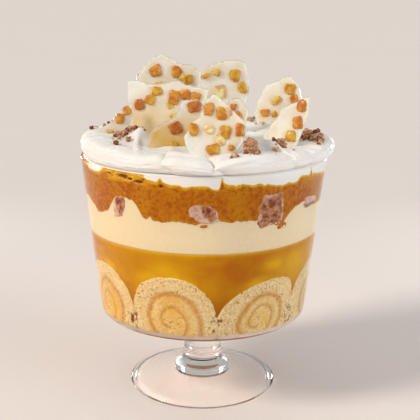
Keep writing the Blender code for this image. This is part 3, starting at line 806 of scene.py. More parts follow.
class Peel(Enum):
    """Shades of candied peel."""

    ORANGE = (0.60, 0.205, 0.014)
    RUST = (0.49, 0.125, 0.010)
    GOLD = (0.60, 0.265, 0.012)
    LEMON = (0.66, 0.40, 0.080)
    PALE = (0.74, 0.53, 0.25)


# ---- the bowl -------------------------------------------------------------------------------
@dataclass
class Bowl:
    """The footed glass bowl, and where its walls are for everything that fills it."""

    rim_radius: float = 0.105
    rim_height: float = 0.2092
    slope: float = 0.110
    foot_height: float = 0.0703
    foot_radius: float = 0.0897
    thickness: float = 0.0028
    corner: float = 0.0066
    underside: float = 0.0658
    floor_edge: float = 0.0738
    floor_centre: float = 0.0722
    floor_corner: float = 0.0050
    stem: float = 0.0166
    stem_flare: float = 0.0189
    disc: float = 0.0648
    disc_edge: float = 0.0042
    disc_thickness: float = 0.0034
    disc_shoulder: float = 0.0012
    boss_radius: float = 0.0245
    boss_height: float = 0.0124
    crown_under: float = 0.0088
    ring_rise: float = 0.00004
    segments: int = 128
    smoothing: int = 3

    def outer(self, height: Array) -> Array:
        """Outer radius of the straight wall at a height."""
        return self.foot_radius + self.slope * (height - self.foot_height)

    def inner(self, height: Array) -> Array:
        """Inner radius at a height, down into the rounded corner of the floor.

        Args:
            height: Heights above the table, in metres.

        Returns:
            The radius at each height.
        """
        height = np.asarray(height, dtype=float)
        top = self.floor_edge + self.floor_corner
        centre = self.outer(top) - self.thickness - self.floor_corner
        drop = np.clip(top - height, 0.0, self.floor_corner * 0.995)
        round_part = centre + np.sqrt(self.floor_corner**2 - drop**2)
        return np.where(height >= top, self.outer(height) - self.thickness, round_part)

    def disc_top(self, radius: float) -> float:
        """Height of the top of the foot's disc at a radius."""
        shoulder = self.disc - self.disc_shoulder
        share = (shoulder - radius) / (shoulder - self.boss_radius)
        return self.disc_edge + (self.boss_height - self.disc_edge) * max(share, 0.0) ** 0.95

    def profile(self) -> Array:
        """Radius and height pairs from under the foot, over the rim and down inside."""
        disc, edge = self.disc, self.disc_edge
        points = [(0.0120, self.crown_under), (0.0205, self.crown_under)]
        for radius in np.linspace(self.boss_radius, 0.0585, 8):
            points.append((radius, self.disc_top(radius) - self.disc_thickness))
        points += [
            (disc - 0.0040, 0.0), (disc - 0.0016, 0.0), (disc, 0.0013), (disc, edge - 0.0013),
            (disc - self.disc_shoulder, edge),
        ]
        for ring, radius in enumerate(np.linspace(0.0605, 0.0260, 12)):
            points.append((radius, self.disc_top(radius) + self.ring_rise * (-1) ** ring))
        points += [
            (0.0243, 0.0126), (0.0241, 0.0132), (0.0243, 0.0150), (0.0238, 0.0168), (0.0222, 0.0186),
            (0.0198, 0.0202), (0.0178, 0.0222), (self.stem, 0.0262), (self.stem - 0.0003, 0.0400),
            (self.stem, 0.0555), (self.stem_flare, 0.0632), (0.0225, self.underside + 0.0001),
            (0.0560, self.underside + 0.0016),
        ]
        centre = self.outer(self.foot_height + self.corner) - self.corner
        for angle in np.radians((-88, -66, -44, -22, 0)):
            height = self.foot_height + self.corner * (1.0 + math.sin(angle))
            points.append((centre + self.corner * math.cos(angle), height))
        middle, half, top = self.rim_radius - self.thickness / 2, self.thickness / 2, self.rim_height
        levels = (0.1000, 0.1400, 0.1900)
        points += [(float(self.outer(level)), level) for level in levels]
        lip = [(half, half), (half * 0.75, half * 0.3), (0.0, 0.0)]
        for side in (1, -1):
            points += [(middle + side * across, top - drop) for across, drop in lip[::side]]
        points += [(float(self.inner(level)), level) for level in levels[::-1]]
        for share in (1.0, 0.7, 0.4, 0.14, 0.0):
            height = self.floor_edge + self.floor_corner * share
            points.append((float(self.inner(height)), height))
        points.append((0.0500, self.floor_centre + 0.0006))
        return np.array(points)

    def build(self, finish: GlassFinish) -> Piece:
        """Turn the smoothed profile round the axis.

        Args:
            finish: The glass.

        Returns:
            The bowl, stem and foot as one piece.
        """
        line = self.profile()
        for _ in range(self.smoothing):
            first, second = line[:-1], line[1:]
            cut = np.stack([0.75 * first + 0.25 * second, 0.25 * first + 0.75 * second], axis=1)
            line = np.vstack([line[:1], cut.reshape(-1, 2), line[-1:]])
        rings = on_wall(all_round(self.segments)[None], line[:, :1], line[:, 1:])
        body = skin_of(rings, UP * self.crown_under, UP * self.floor_centre)
        return settle(make_object("footed_bowl", *body), "glass_bowl", finish.make())


@dataclass(frozen=True)
class Depths:
    """How far each thing in the bowl reaches into the wall, so that no air gap shows."""

    jelly: float = 0.00030
    custard: float = 0.00030
    cream: float = 0.00035
    coulis: float = 0.00060
    lump: float = 0.00085


REACH = Depths()


# ---- Swiss roll slices ----------------------------------------------------------------------
@dataclass(frozen=True)
class Slice:
    """One slice: where it stands, its domed outline, and where its roll is centred; metres and degrees."""

    azimuth: float
    top: float
    peak: float = 0.0
    left_power: float = 2.2
    right_power: float = 2.2
    hub: tuple[float, float] = (0.0, 0.0870)
    start: float = 0.0068
    pitch: float = 0.0125
    soaked: float = 0.5
    drawn: float = 0.0
    along: float = 0.0


@dataclass
class SwissRolls:
    """Slices of Swiss roll standing against the glass all the way round."""

    bowl: Bowl
    half_width: float = 0.0364
    widest: float = 0.0905
    base: float = 0.0735
    wall_radius: float = 0.0905
    line_width: float = 0.0026
    line_depth: float = 0.0005
    depth: float = 0.012
    free_from: tuple[float, float] = (0.091, 0.101)
    last_turn: tuple[float, float] = (1.36, 1.52)
    around: int = 184
    across: int = 60
    slices: tuple[Slice, ...] = (
        Slice(-15.5, 0.1270, 0.0008, 2.5, 1.95, (-0.0012, 0.0876), 0.0040, 0.0124, 0.9, 0.06, 20),
        Slice(30.5, 0.1222, 0.0140, 1.9, 3.1, (-0.0014, 0.0872), 0.0050, 0.0100, 0.4, -0.16, 42),
        Slice(74.5, 0.1250, -0.0040, 2.2, 2.0, (0.0020, 0.0880), 0.0036, 0.0116, 0.4),
        Slice(119.5, 0.1275, 0.0030, 2.4, 2.1, (-0.0020, 0.0872), 0.0044, 0.0120, 0.7, -0.10, 60),
        Slice(164.5, 0.1245, -0.0080, 2.6, 1.9, (0.0010, 0.0866), 0.0048, 0.0112, 0.5, -0.12, 140),
        Slice(209.5, 0.1268, 0.0060, 2.0, 2.6, (0.0000, 0.0876), 0.0042, 0.0118, 0.8, -0.08, 30),
        Slice(254.5, 0.1240, -0.0030, 2.2, 2.3, (-0.0010, 0.0874), 0.0036, 0.0124, 0.6, -0.10, 120),
        Slice(-60.5, 0.1265, 0.0010, 2.2, 2.1, (0.0000, 0.0880), 0.0030, 0.0118, 1.0, -0.10, 80),
    )

    def outline(self, piece: Slice, across: Array, height: Array) -> Array:
        """How far out a point lies in a slice's shape: 1 on its edge.

        Args:
            piece: The slice.
            across: Metres along the wall from its middle, positive to the right.
            height: Heights above the table.

        Returns:
            The distance, as a share of the slice.
        """
        rise = height - self.widest
        lean = piece.peak * eased(rise, 0.0, 0.020)
        side = across - lean
        reach = np.where(side < 0, self.half_width + lean, self.half_width - lean)
        power = np.where(side < 0, piece.left_power, piece.right_power)
        power = power + (24.0 - power) * eased(-rise, -0.001, 0.004)
        tall = np.where(rise > 0, piece.top - self.widest, self.widest - self.base)
        return squashed(side / reach, rise / tall, power)

    def cover(self, azimuth: Array, height: Array) -> Array:
        """Nearness of wall points to the slices.

        Args:
            azimuth: Degrees from the front.
            height: Heights above the table.

        Returns:
            Distance from the nearest slice's middle, as a share of that slice.
        """
        nearest = np.full(np.broadcast(azimuth, height).shape, 9.0)
        for piece in self.slices:
            across = np.radians(away(azimuth, piece.azimuth)) * self.wall_radius
            nearest = np.minimum(nearest, self.outline(piece, across, height))
        return nearest

    def reach_of(self, piece: Slice, angle: Array) -> Array:
        """Distance from a slice's hub to its edge in each direction, in metres."""
        low, high = np.zeros_like(angle), np.full_like(angle, 0.060)
        for _ in range(24):
            middle = (low + high) / 2.0
            across = piece.hub[0] + middle * np.cos(angle)
            height = piece.hub[1] + middle * np.sin(angle)
            inside = self.outline(piece, across, height) < 1.0
            low, high = np.where(inside, middle, low), np.where(inside, high, middle)
        return low

    def build_slice(self, number: int, piece: Slice, material: Material) -> Piece:
        """Build one slice, its face pressed to the glass.

        Args:
            number: Its number, from 1.
            piece: Its place and roll.
            material: Its finish.

        Returns:
            The slice.
        """
        seed = 40 + number
        turn = 2.0 * np.pi * np.arange(self.around) / self.around
        edge_reach = self.reach_of(piece, turn)
        circle = np.stack([np.cos(turn), np.sin(turn), np.zeros_like(turn)], axis=-1)
        free = eased(piece.hub[1] + edge_reach * np.sin(turn), 0.096, 0.104)
        edge_reach = edge_reach * (1.0 + 0.012 * rough(circle, 0.35, 3, seed) * free)
        angle, share = np.meshgrid(turn, np.linspace(0.0, 1.0, self.across)[1:])
        reach = share * edge_reach[None]
        across = piece.hub[0] + reach * np.cos(angle)
        height = piece.hub[1] + reach * np.sin(angle)
        flat = np.stack([across, height, np.full_like(across, seed * 0.01)], axis=-1)
        bent = reach + 0.0011 * rough(flat, 0.012, 2, seed)
        oval = piece.drawn * np.cos(2.0 * (angle - math.radians(piece.along)))
        bent = bent * (1.0 + oval * (1.0 - 0.6 * share))
        wound = (bent - piece.start) / piece.pitch - ((-0.5 * np.pi - angle) / (2.0 * np.pi)) % 1.0
        apart = np.abs(wound - np.round(wound)) * piece.pitch
        kept = eased(wound, -0.15, 0.1) * (1.0 - eased(share, 0.90, 0.97))
        kept = kept * (1.0 - eased(wound, *self.last_turn))
        line = np.exp(-((apart / self.line_width) ** 3)) * kept
        seam = np.exp(-((apart / (0.4 * self.line_width)) ** 2)) * kept
        crumb = rough(flat, 0.0030, 2, seed + 7)
        holes = pits(flat, 0.0021, 0.30, seed + 9)
        rim = 1.0 - np.sqrt(np.clip(1.0 - eased(share, 0.93, 1.0) ** 2, 0.0, 1.0))
        rim = rim * eased(height, *self.free_from)
        ragged = 0.0005 * rough(flat, 0.0016, 2, seed + 21) * eased(share, 0.88, 0.96)
        recess = -REACH.lump + self.line_depth * line + 0.00016 * crumb + 0.0006 * holes
        recess = recess + 0.0024 * rim + ragged
        radius = self.bowl.inner(np.maximum(height, self.bowl.floor_edge + 0.0002)) - recess
        azimuth = piece.azimuth + np.degrees(across / self.wall_radius)
        face = on_wall(azimuth, radius, height)
        back = face[-1:] - outward(azimuth[-1:]) * self.depth
        points, faces = skin_of(np.vstack([back, face[::-1]]), back[0].mean(axis=0), face[0].mean(axis=0))
        outer = eased(reach, piece.start + 1.3 * piece.pitch, piece.start + 1.7 * piece.pitch)
        cloudy = rough(flat, 0.014, 2, seed + 3)
        low_end = eased(np.abs(across), 0.024, 0.034) * (1.0 - eased(height, 0.088, 0.097))
        heart = np.exp(-((reach / 0.0052) ** 2))
        soak = piece.soaked * (1.0 - 0.8 * outer) * (0.70 + 0.45 * cloudy)
        soak = soak + 0.5 * (1.0 - eased(share, 0.0, 0.5))
        soak = np.maximum(soak, 0.8 * eased(share, 0.955, 1.0) * eased(height, *self.free_from))
        specks = 0.15 + 0.6 * outer * eased(cloudy, -0.5, 0.3) + heart + 0.5 * low_end
        traits = face_traits((
            ("filling", np.clip(0.66 * line + 0.20 * seam, 0, 1), (0.0, 0.3)),
            ("soak", np.clip(soak - 0.4 * heart, 0, 1), (0.5, 0.5)),
            ("specks", np.clip(specks, 0, 1), (0.3, 1.0)),
            ("wine", low_end * eased(rough(flat, 0.0030, 2, seed + 5), 0.25, 0.55), (0.0, 0.0)),
            # painted reflection of the table at the bottom of the slice
            ("under", 1.0 - eased(height, 0.0745, 0.0775), (1.0, 0.0)),
        ))
        made = make_object(f"roll_slice_{number}", points, faces, traits)
        return settle(made, f"swiss_roll_{number}", material)

    def build(self, finish: SpongeFinish) -> list[Piece]:
        """Build and dress every slice."""
        material = finish.make()
        return [self.build_slice(number + 1, piece, material) for number, piece in enumerate(self.slices)]


@dataclass(frozen=True)
class WallBiscuit:
    """Amaretti at the glass: place, half-sizes in metres, and how far a milky smear covers a side."""

    spot: str
    azimuth: float
    height: float
    across: float
    up: float
    deep: float
    side: float = 0.0
    cover: float = 0.0
    rim: float = 0.8
    lean: float = 0.0


BISCUIT_POWER = 2.6
WALL_BISCUITS: tuple[WallBiscuit, ...] = (
    WallBiscuit("wall_left", -41.3, 0.1802, 0.0062, 0.0086, 0.0070, 215.0, 0.85, 0.7, 0.30),
    WallBiscuit("wall_front", 0.6, 0.1802, 0.0122, 0.0084, 0.0080, 190.0, 1.10, 0.9, -0.10),
    WallBiscuit("wall_right", 32.0, 0.1796, 0.0122, 0.0136, 0.0095, 115.0, 0.35, 0.75, 0.05),
    WallBiscuit("wall_far_right", 59.0, 0.1796, 0.0112, 0.0046, 0.0060, 90.0, 1.30, 0.8, 0.10),
)


# ---- the layers -----------------------------------------------------------------------------
@dataclass
class Layers:
    """Jelly, custard and coulis: bands that show through the glass and run through the food."""

    bowl: Bowl
    rolls: SwissRolls
    jelly_top: float = 0.1468
    custard_top: float = 0.1730
    coulis_top: float = 0.2034
    columns: int = 720
    coulis_limit: float = 0.2086
    custard_tuck: float = 0.0035
    wall_mean: float = 0.099
    nest_depth: float = 0.0040
    gap_depth: float = 0.0018
    slice_recess: float = 0.006
    custard_humps: Table = (
        (-38.0, 8.6, 0.0155, 4), (-72, 8, 0.0060, 2), (-57.5, 5, -0.0035, 2), (-50, 3, 0.0015, 2),
        (52, 8.5, 0.0068, 4), (60, 9, 0.0030, 2), (37.7, 2.2, -0.0115, 1.4), (8, 6, 0.0012, 2),
        (21, 4, 0.0012, 2), (-24.2, 0.9, 0.0022, 2), (92, 14, 0.0050, 2), (112, 7, -0.0040, 3),
        (140, 14, -0.0040, 2), (156, 7, 0.0090, 4), (178, 10, 0.0070, 3), (200, 6, -0.0030, 2),
        (215, 12, -0.0030, 2), (238, 7, 0.0060, 4), (262, 9, 0.0080, 3),
    )
    coulis_humps: Table = (
        (-80, 15, 0.0075, 4), (-47.5, 6.5, 0.0050, 3), (-34, 8, 0.0068, 4), (-22.5, 4.5, 0.0013, 2),
        (-18.7, 0.9, 0.0030, 1.5), (-8.5, 4, -0.0018, 2), (4.8, 2.6, -0.0036, 2), (7.7, 0.6, 0.0058, 2),
        (9.3, 2.0, 0.0020, 2), (25, 7, -0.0014, 2), (36, 6, -0.0030, 2), (44, 4, -0.0022, 2),
        (49, 2, 0.0014, 2), (55.8, 0.7, 0.0050, 2), (76, 10, -0.0040, 2), (98, 9, 0.0045, 3),
        (125, 12, 0.0020, 2), (143, 1, 0.0050, 2), (165, 12, -0.0024, 2), (190, 9, 0.0040, 4),
        (205, 14, 0.0020, 2), (232, 8, -0.0030, 2), (252, 10, 0.0040, 3),
    )
    # Spots of painted light in the jelly: azimuth, height, half-width in degrees, half-height in metres and
    # strength.
    painted_glows: Table = (
        (-17.5, 0.1310, 9.5, 0.0075, 0.80), (37.0, 0.1335, 8.5, 0.0065, 0.75), (-62, 0.136, 6, 0.004, 0.4),
        (54.0, 0.132, 18.0, 0.0140, 0.70), (5.0, 0.140, 5.0, 0.0030, 0.25), (100, 0.134, 7, 0.005, 0.7),
        (168, 0.135, 8, 0.004, 0.8), (230, 0.134, 6, 0.005, 0.6),
    )
    gaps: Table = (
        (-38.0, 0.2054, 3.0, 0.0023), (-33.8, 0.2042, 1.5, 0.0014), (-28.8, 0.2028, 2.6, 0.0014),
        (-45.7, 0.2058, 1.4, 0.0010), (-18.4, 0.2012, 0.9, 0.0010), (150, 0.2040, 2.0, 0.0014),
        (192, 0.2050, 2.6, 0.0013), (197, 0.2035, 1.6, 0.0012), (101, 0.2052, 1.8, 0.0012),
    )

    def nests(self, azimuth: Array, height: Array) -> Array:
        """How far each wall point draws back behind the biscuits, in metres."""
        back = np.zeros(np.broadcast(azimuth, height).shape)
        for piece in WALL_BISCUITS:
            up = (height - piece.height) / piece.up
            across = np.radians(away(azimuth, piece.azimuth)) * self.wall_mean / piece.across
            across = across - piece.lean * up * piece.up / piece.across
            apart = squashed(across, up, BISCUIT_POWER)
            back = np.maximum(back, self.nest_depth * (1.0 - eased(apart, 0.62, 0.80)))
        return back

    def custard_edge(self, azimuth: Array) -> Array:
        """Height at which the custard meets the coulis on the glass."""
        wall = outward(azimuth) * 0.095
        ragged = 0.0010 * rough(wall, 0.0050, 3, 3) + 0.0006 * noise(wall, 0.0014, 5)
        return self.custard_top + humps(self.custard_humps, azimuth) + ragged

    def coulis_edge(self, azimuth: Array) -> Array:
        """Height at which the coulis meets the cream on the glass."""
        wall = outward(azimuth) * self.wall_mean
        ragged = 0.0010 * rough(wall, 0.0060, 3, 13) + 0.0005 * noise(wall, 0.0015, 15)
        return np.minimum(self.coulis_top + humps(self.coulis_humps, azimuth) + ragged, self.coulis_limit)

    def band(self, low: Array, high: Array, rows: int, reach: float) -> tuple[Array, Array, Array]:
        """Wall points between two edges.

        Args:
            low: Lower edge at each column.
            high: Upper edge at each column.
            rows: How many rows of points.
            reach: How far they stand into the glass.

        Returns:
            The azimuths, heights and radii, as rows and columns.
        """
        share = np.linspace(0.0, 1.0, rows)[:, None]
        height = low + (high - low) * share
        return np.broadcast_to(all_round(self.columns), height.shape), height, self.bowl.inner(height) + reach

    def finish_band(
        self, name: str, node: str, rings: Array, ends: tuple[float, float],
        traits: dict[str, Array], material: Material,
    ) -> Piece:
        """Close a band across the bowl, and dress it.

        Args:
            name: The piece's name.
            node: The solid that it stands for, whose material slot has the same name.
            rings: Wall points, as rows and columns.
            ends: Heights of the middle, below and above.
            traits: Values at the wall points.
            material: Its finish.

        Returns:
            The piece.
        """
        inner = rings[[0, -1]] * 0.6
        inner[..., 2] = np.array(ends)[:, None]
        closed = np.concatenate([inner[:1], rings, inner[1:]])
        points, faces = skin_of(closed, UP * ends[0], UP * ends[1])
        pad = np.zeros((1, rings.shape[1]))
        full = {key: np.append(np.vstack([pad, value, pad]), (0.0, 0.0)) for key, value in traits.items()}
        return settle(make_object(name, points, faces, full), node, material)

    def build_jelly(self, finish: JellyFinish) -> Piece:
        """Jelly up to its level top, hollowed where the slices stand.

        Args:
            finish: The jelly's finish.

        Returns:
            The jelly.
        """
        low = np.full(self.columns, self.bowl.floor_edge - 0.0003)
        azimuth, height, radius = self.band(low, np.full(self.columns, self.jelly_top), 64, REACH.jelly)
        cover = self.rolls.cover(azimuth, height)
        radius = radius - self.slice_recess * (1.0 - eased(cover, 0.88, 0.92))
        above = np.clip((height - 0.108) / (self.jelly_top - 0.108), 0.0, 1.0)
        cloudy = rough(on_wall(azimuth, 0.09, height), 0.022, 3, 31)
        # painted light where light would come through: beside the slices, at the listed spots and just under
        # the top
        painted_glow = np.exp(-((cover - 1.0) / 0.16) ** 2) * eased(height, 0.105, 0.122) * (0.5 + 0.7 * cloudy)
        for centre, level, wide, tall, strength in self.painted_glows:
            spot = (away(azimuth, centre) / wide) ** 2 + ((height - level) / tall) ** 2
            painted_glow = np.maximum(painted_glow, strength * np.exp(-spot))
        painted_glow = np.maximum(painted_glow, 0.55 * np.exp(-((self.jelly_top - height) / 0.0022) ** 2))
        # painted shade, deepest low down and in the corner by the floor, with some cloudiness
        shade = (1.0 - eased(height, 0.086, 0.118)) * 0.75 + 0.25 * np.clip(cloudy - 0.2, 0, 1) * (1 - above)
        shade = shade * eased(height, 0.0785, 0.086)
        # 0 in a thin band at the bottom and on the closing discs, where the pale painted reflection of the
        # table shows
        off_table_reflection = np.maximum(eased(height, 0.0745, 0.0770), 1.0 - eased(height, 0.0736, 0.0741))
        traits = {"painted_glow": np.clip(painted_glow, 0, 1), "shade": np.clip(shade, 0, 1), "off_table_reflection": off_table_reflection}
        rings = on_wall(azimuth, radius, height)
        ends = (self.bowl.floor_centre - 0.0003, self.jelly_top)
        return self.finish_band("jelly_layer", "jelly", rings, ends, traits, finish.make())

    def build_custard(self, finish: CustardFinish) -> Piece:
        """Custard, from the jelly to just behind the coulis's lower edge."""
        top = self.custard_edge(all_round(self.columns)) + self.custard_tuck
        low = np.full(self.columns, self.jelly_top + 0.00005)
        azimuth, height, radius = self.band(low, top, 30, REACH.custard)
        rings = on_wall(azimuth, radius - self.nests(azimuth, height), height)
        ends = (self.jelly_top + 0.0001, self.custard_top)
        return self.finish_band("custard_layer", "custard", rings, ends, {}, finish.make())

    def build_coulis(self, finish: CoulisFinish) -> Piece:
        """Coulis between its two ragged edges, with gaps left, and painted with shade, where it doesn't touch
        the glass.

        Args:
            finish: The coulis's finish.

        Returns:
            The coulis.
        """
        columns = all_round(self.columns)
        low, high = self.custard_edge(columns), self.coulis_edge(columns)
        azimuth, height, radius = self.band(low, high, 56, REACH.coulis)
        wall = on_wall(azimuth, 0.096, height)
        # gap both sets the surface back from the glass and marks where shade is painted
        gap = np.zeros_like(height)
        for centre, level, wide, tall in self.gaps:
            bent = 0.35 * rough(wall, 0.0030, 2, int(centre) % 90)
            apart = np.hypot(away(azimuth, centre) / wide, (height - level) / tall) + bent
            gap = np.maximum(gap, 1.0 - eased(apart, 0.65, 1.15))
        pulpy = rough(wall, 0.0042, 3, 23)
        below = (high - height) + 0.0010 * pulpy
        pulp = (1.0 - eased(below, 0.0006, 0.0030)) * 0.85
        pulp = np.maximum(pulp, (1.0 - eased(height - low, 0.0002, 0.0012)) * 0.45)
        side = eased(np.abs(away(azimuth, 58.0)), 0.0, 16.0)
        pulp = np.clip(pulp + 0.35 * (1 - side) * eased(height, 0.190, 0.205), 0, 1)
        near = (1.0 - eased(np.abs(away(azimuth, -36.0)), 8.0, 13.0)) * (1.0 - eased(below, 0.0055, 0.0085))
        pulp = np.maximum(pulp, near * (0.75 + 0.3 * pulpy))
        torn = pits(wall, 0.0026, 0.75, 29) * near * (1.0 - eased(np.abs(below - 0.0032), 0.0010, 0.0026))
        gap = np.maximum(gap, eased(torn, 0.25, 0.6))
        radius = radius - np.maximum(self.gap_depth * gap, self.nests(azimuth, height))
        rings = on_wall(azimuth, radius - 0.00025 * eased(pulpy, 0.2, 0.9), height)
        ends = (self.custard_top + 0.0003, self.coulis_top)
        traits = {"gap": gap, "pulp": pulp}
        return self.finish_band("coulis_layer", "fruit_coulis", rings, ends, traits, finish.make())


# ---- whipped cream --------------------------------------------------------------------------
@dataclass(frozen=True)
class Lobe:
    """A lobe of cream folded over the rim."""

    azimuth: float
    half_width: float
    overhang: float
    bulge: float


@dataclass(frozen=True)
class Ridge:
    """A soft ridge that the spoon left: a bowed line between two spots, in millimetres."""

    start: tuple[float, float]
    end: tuple[float, float]
    bow: float
    rise: float
    width: float
    back: float = 1.0

    def height(self, spots: Array) -> Array:
        """Rise of the surface at spots.

        Args:
            spots: Points across the cream, in metres, with a last axis of length 2.

        Returns:
            The rise in metres.
        """
        start, end = np.array(self.start) * MM, np.array(self.end) * MM
        along = end - start
        side = np.array([-along[1], along[0]]) / np.linalg.norm(along)
        middle = (start + end) / 2 + side * self.bow * MM * 2.0
        share = np.linspace(0.0, 1.0, 25)[:, None]
        line = (1 - share) ** 2 * start + 2 * share * (1 - share) * middle + share**2 * end
        flat = spots.reshape(-1, 2)
        apart = np.linalg.norm(flat[:, None, :] - line[None], axis=-1)
        nearest = apart.argmin(axis=1)
        offset = flat - line[nearest]
        left = (offset @ side) > 0
        width = self.width * MM * np.where(left, self.back, 1.0)
        fade = np.clip(4.0 * share[nearest, 0] * (1 - share[nearest, 0]), 0.15, 1.0) ** 0.5
        rise = self.rise * MM * fade * np.exp(-((apart.min(axis=1) / width) ** 2))
        return rise.reshape(spots.shape[:-1])


@dataclass
class CreamCap:
    """Whipped cream, from the coulis up over the rim in lobes, with the marks of the spoon."""

    bowl: Bowl
    layers: Layers
    level: float = 0.2222
    clearance: float = 0.0004
    roundness: float = 0.0088
    crease_depth: float = 0.0048
    past_lobe: float = 0.0012
    gathered: float = 0.2078
    fold_height: float = 0.0112
    centre_gap: float = 0.0015
    columns: int = 720
    edge_rows: int = 24
    top_rows: int = 84
    lobes: tuple[Lobe, ...] = (
        Lobe(-60, 43, -0.0020, 0.0030), Lobe(-6, 11, 0.0004, 0.0020), Lobe(24.5, 19, 0.0008, 0.0022),
        Lobe(49, 7, 0.0010, 0.0020), Lobe(83, 27, 0.0020, 0.0044), Lobe(138, 28, 0.0004, 0.0026),
        Lobe(184, 20, 0.0010, 0.0022), Lobe(228, 26, 0.0000, 0.0028),
    )
    mounds: Table = (
        (-52, -25, 8.5, 10.5), (-61, -10, 11, 7.8), (-94, 6, 17, 5.6), (-78, 40, 22, 4), (-80, -30, 14, 2.6),
        (46, -56, 14, 1.4), (-33, -84, 10, 3), (92, -8, 16, 4.6), (86, 12, 14, 3), (18, 78, 24, 4),
        (58, -46, 12, 1.6), (44, -42, 9, -5), (52, 52, 18, 2.4), (-30, 68, 16, 2.4), (6, -88, 10, -1.6),
        (76, -42, 12, -1.8), (0, -14, 30, 2.4), (-10, 30, 20, -1.5), (-66, -64, 16, 2), (28, -50, 14, 2.4),
        (84, -28, 12, 1.6), (66, 76, 14, 3.2), (-62, 62, 12, 2.4), (2, 50, 14, 2), (38, 30, 12, -2),
        (-20, -86, 9, 1.6),
    )
    ridges: tuple[Ridge, ...] = (
        Ridge((-51, -80), (-54, -32), 1, 3.8, 2.6, 0.7), Ridge((-46, -84), (12, -90), -3, 3.2, 4.5, 1.2),
        Ridge((22, -64), (63, -70), 13, 6.0, 6.5, 0.38), Ridge((67, -62), (90, -36), -4, 2.2, 4.0, 1.3),
        Ridge((-94, -26), (-60, -74), -6, 1.6, 5.0, 1.8), Ridge((-96, 4), (-70, -52), -5, 1.4, 6.0, 1.5),
        Ridge((14, -96), (58, -78), -4, 1.8, 5.0, 1.6), Ridge((76, -70), (98, -34), -3, 2.8, 4.0, 1.0),
        Ridge((92, -20), (86, 34), -5, 2.6, 4.5, 1.5), Ridge((78, 52), (40, 86), -4, 3.0, 5.0, 1.6),
        Ridge((84, 20), (52, 62), 6, 2.4, 4.0, 0.7), Ridge((24, 92), (-34, 88), -4, 3.0, 5.0, 1.6),
        Ridge((-10, 70), (44, 64), 5, 2.8, 4.0, 0.7), Ridge((-50, 82), (-90, 30), -5, 3.2, 5.0, 1.6),
        Ridge((-70, 46), (-84, 2), 6, 2.2, 4.5, 0.8), Ridge((-24, 62), (-62, 44), 5, 2.6, 4.0, 0.8),
        Ridge((10, 36), (54, 16), 6, 1.8, 4.0, 0.8), Ridge((-20, -20), (30, -34), 5, 1.6, 4.5, 1.4),
        Ridge((46, 78), (86, 48), 8, 1.8, 3.0, 1.8), Ridge((-78, 24), (-40, 74), -7, 1.8, 3.0, 1.8),
    )
    collars: tuple[Ridge, ...] = ()

    def lobed(self, azimuth: Array) -> tuple[Array, Array]:
        """The lobes round the rim.

        Args:
            azimuth: Degrees from the front.

        Returns:
            How far past the rim's middle the cream reaches, and its fullness from 0 in a crease to 1.
        """
        reach = np.full(azimuth.shape, -1.0)
        full = np.zeros(azimuth.shape)
        for lobe in self.lobes:
            off = np.abs(away(azimuth, lobe.azimuth)) / lobe.half_width
            swell = np.clip(1.0 - off**2.4, 0.0, 1.0) ** 0.5
            past = np.clip(off - 1.0, 0.0, None) * lobe.half_width * self.past_lobe
            mine = lobe.overhang + lobe.bulge * swell - 0.0019 * (1.0 - swell) - past
            reach = np.maximum(reach, mine)
            full = np.maximum(full, swell)
        return reach, full

    def top(self, spots: Array) -> Array:
        """Height of the cream's top.

        Args:
            spots: Points across the cream, with a last axis of length 2.

        Returns:
            Heights in metres.
        """
        radius = np.linalg.norm(spots, axis=-1)
        azimuth = np.degrees(np.arctan2(spots[..., 0], -spots[..., 1]))
        solid = np.concatenate([spots, np.zeros_like(spots[..., :1])], axis=-1)
        swirl = 220.0 * np.clip(0.100 - radius, 0.0, 0.06)
        height = np.full(radius.shape, self.level)
        for x, y, wide, rise in self.mounds:
            apart = np.hypot(spots[..., 0] - x * MM, spots[..., 1] - y * MM) / (wide * MM)
            height += rise * MM * np.exp(-(apart**2))
        for ridge in self.ridges + self.collars:
            height += ridge.height(spots)
        _, full = self.lobed(azimuth + swirl)
        near = eased(radius, 0.058, 0.099)
        height -= self.crease_depth * near * (1.0 - full) ** 1.5
        height += 0.0013 * near * (full - 0.6)
        height += 0.0015 * rough(solid, 0.030, 2, 51)
        warped = solid + 0.006 * np.stack([noise(solid, 0.024, 61), noise(solid, 0.024, 62), 0 * radius], -1)
        along, across = warped[..., 0], warped[..., 1]
        streak = np.stack([along * 0.9 + across * 0.3, across * 2.6, 0 * radius], -1)
        height += 0.00085 * (1.0 - 2.0 * np.abs(noise(streak, 0.017, 63)))
        height += 0.00022 * rough(solid, 0.0045, 2, 64)
        return height

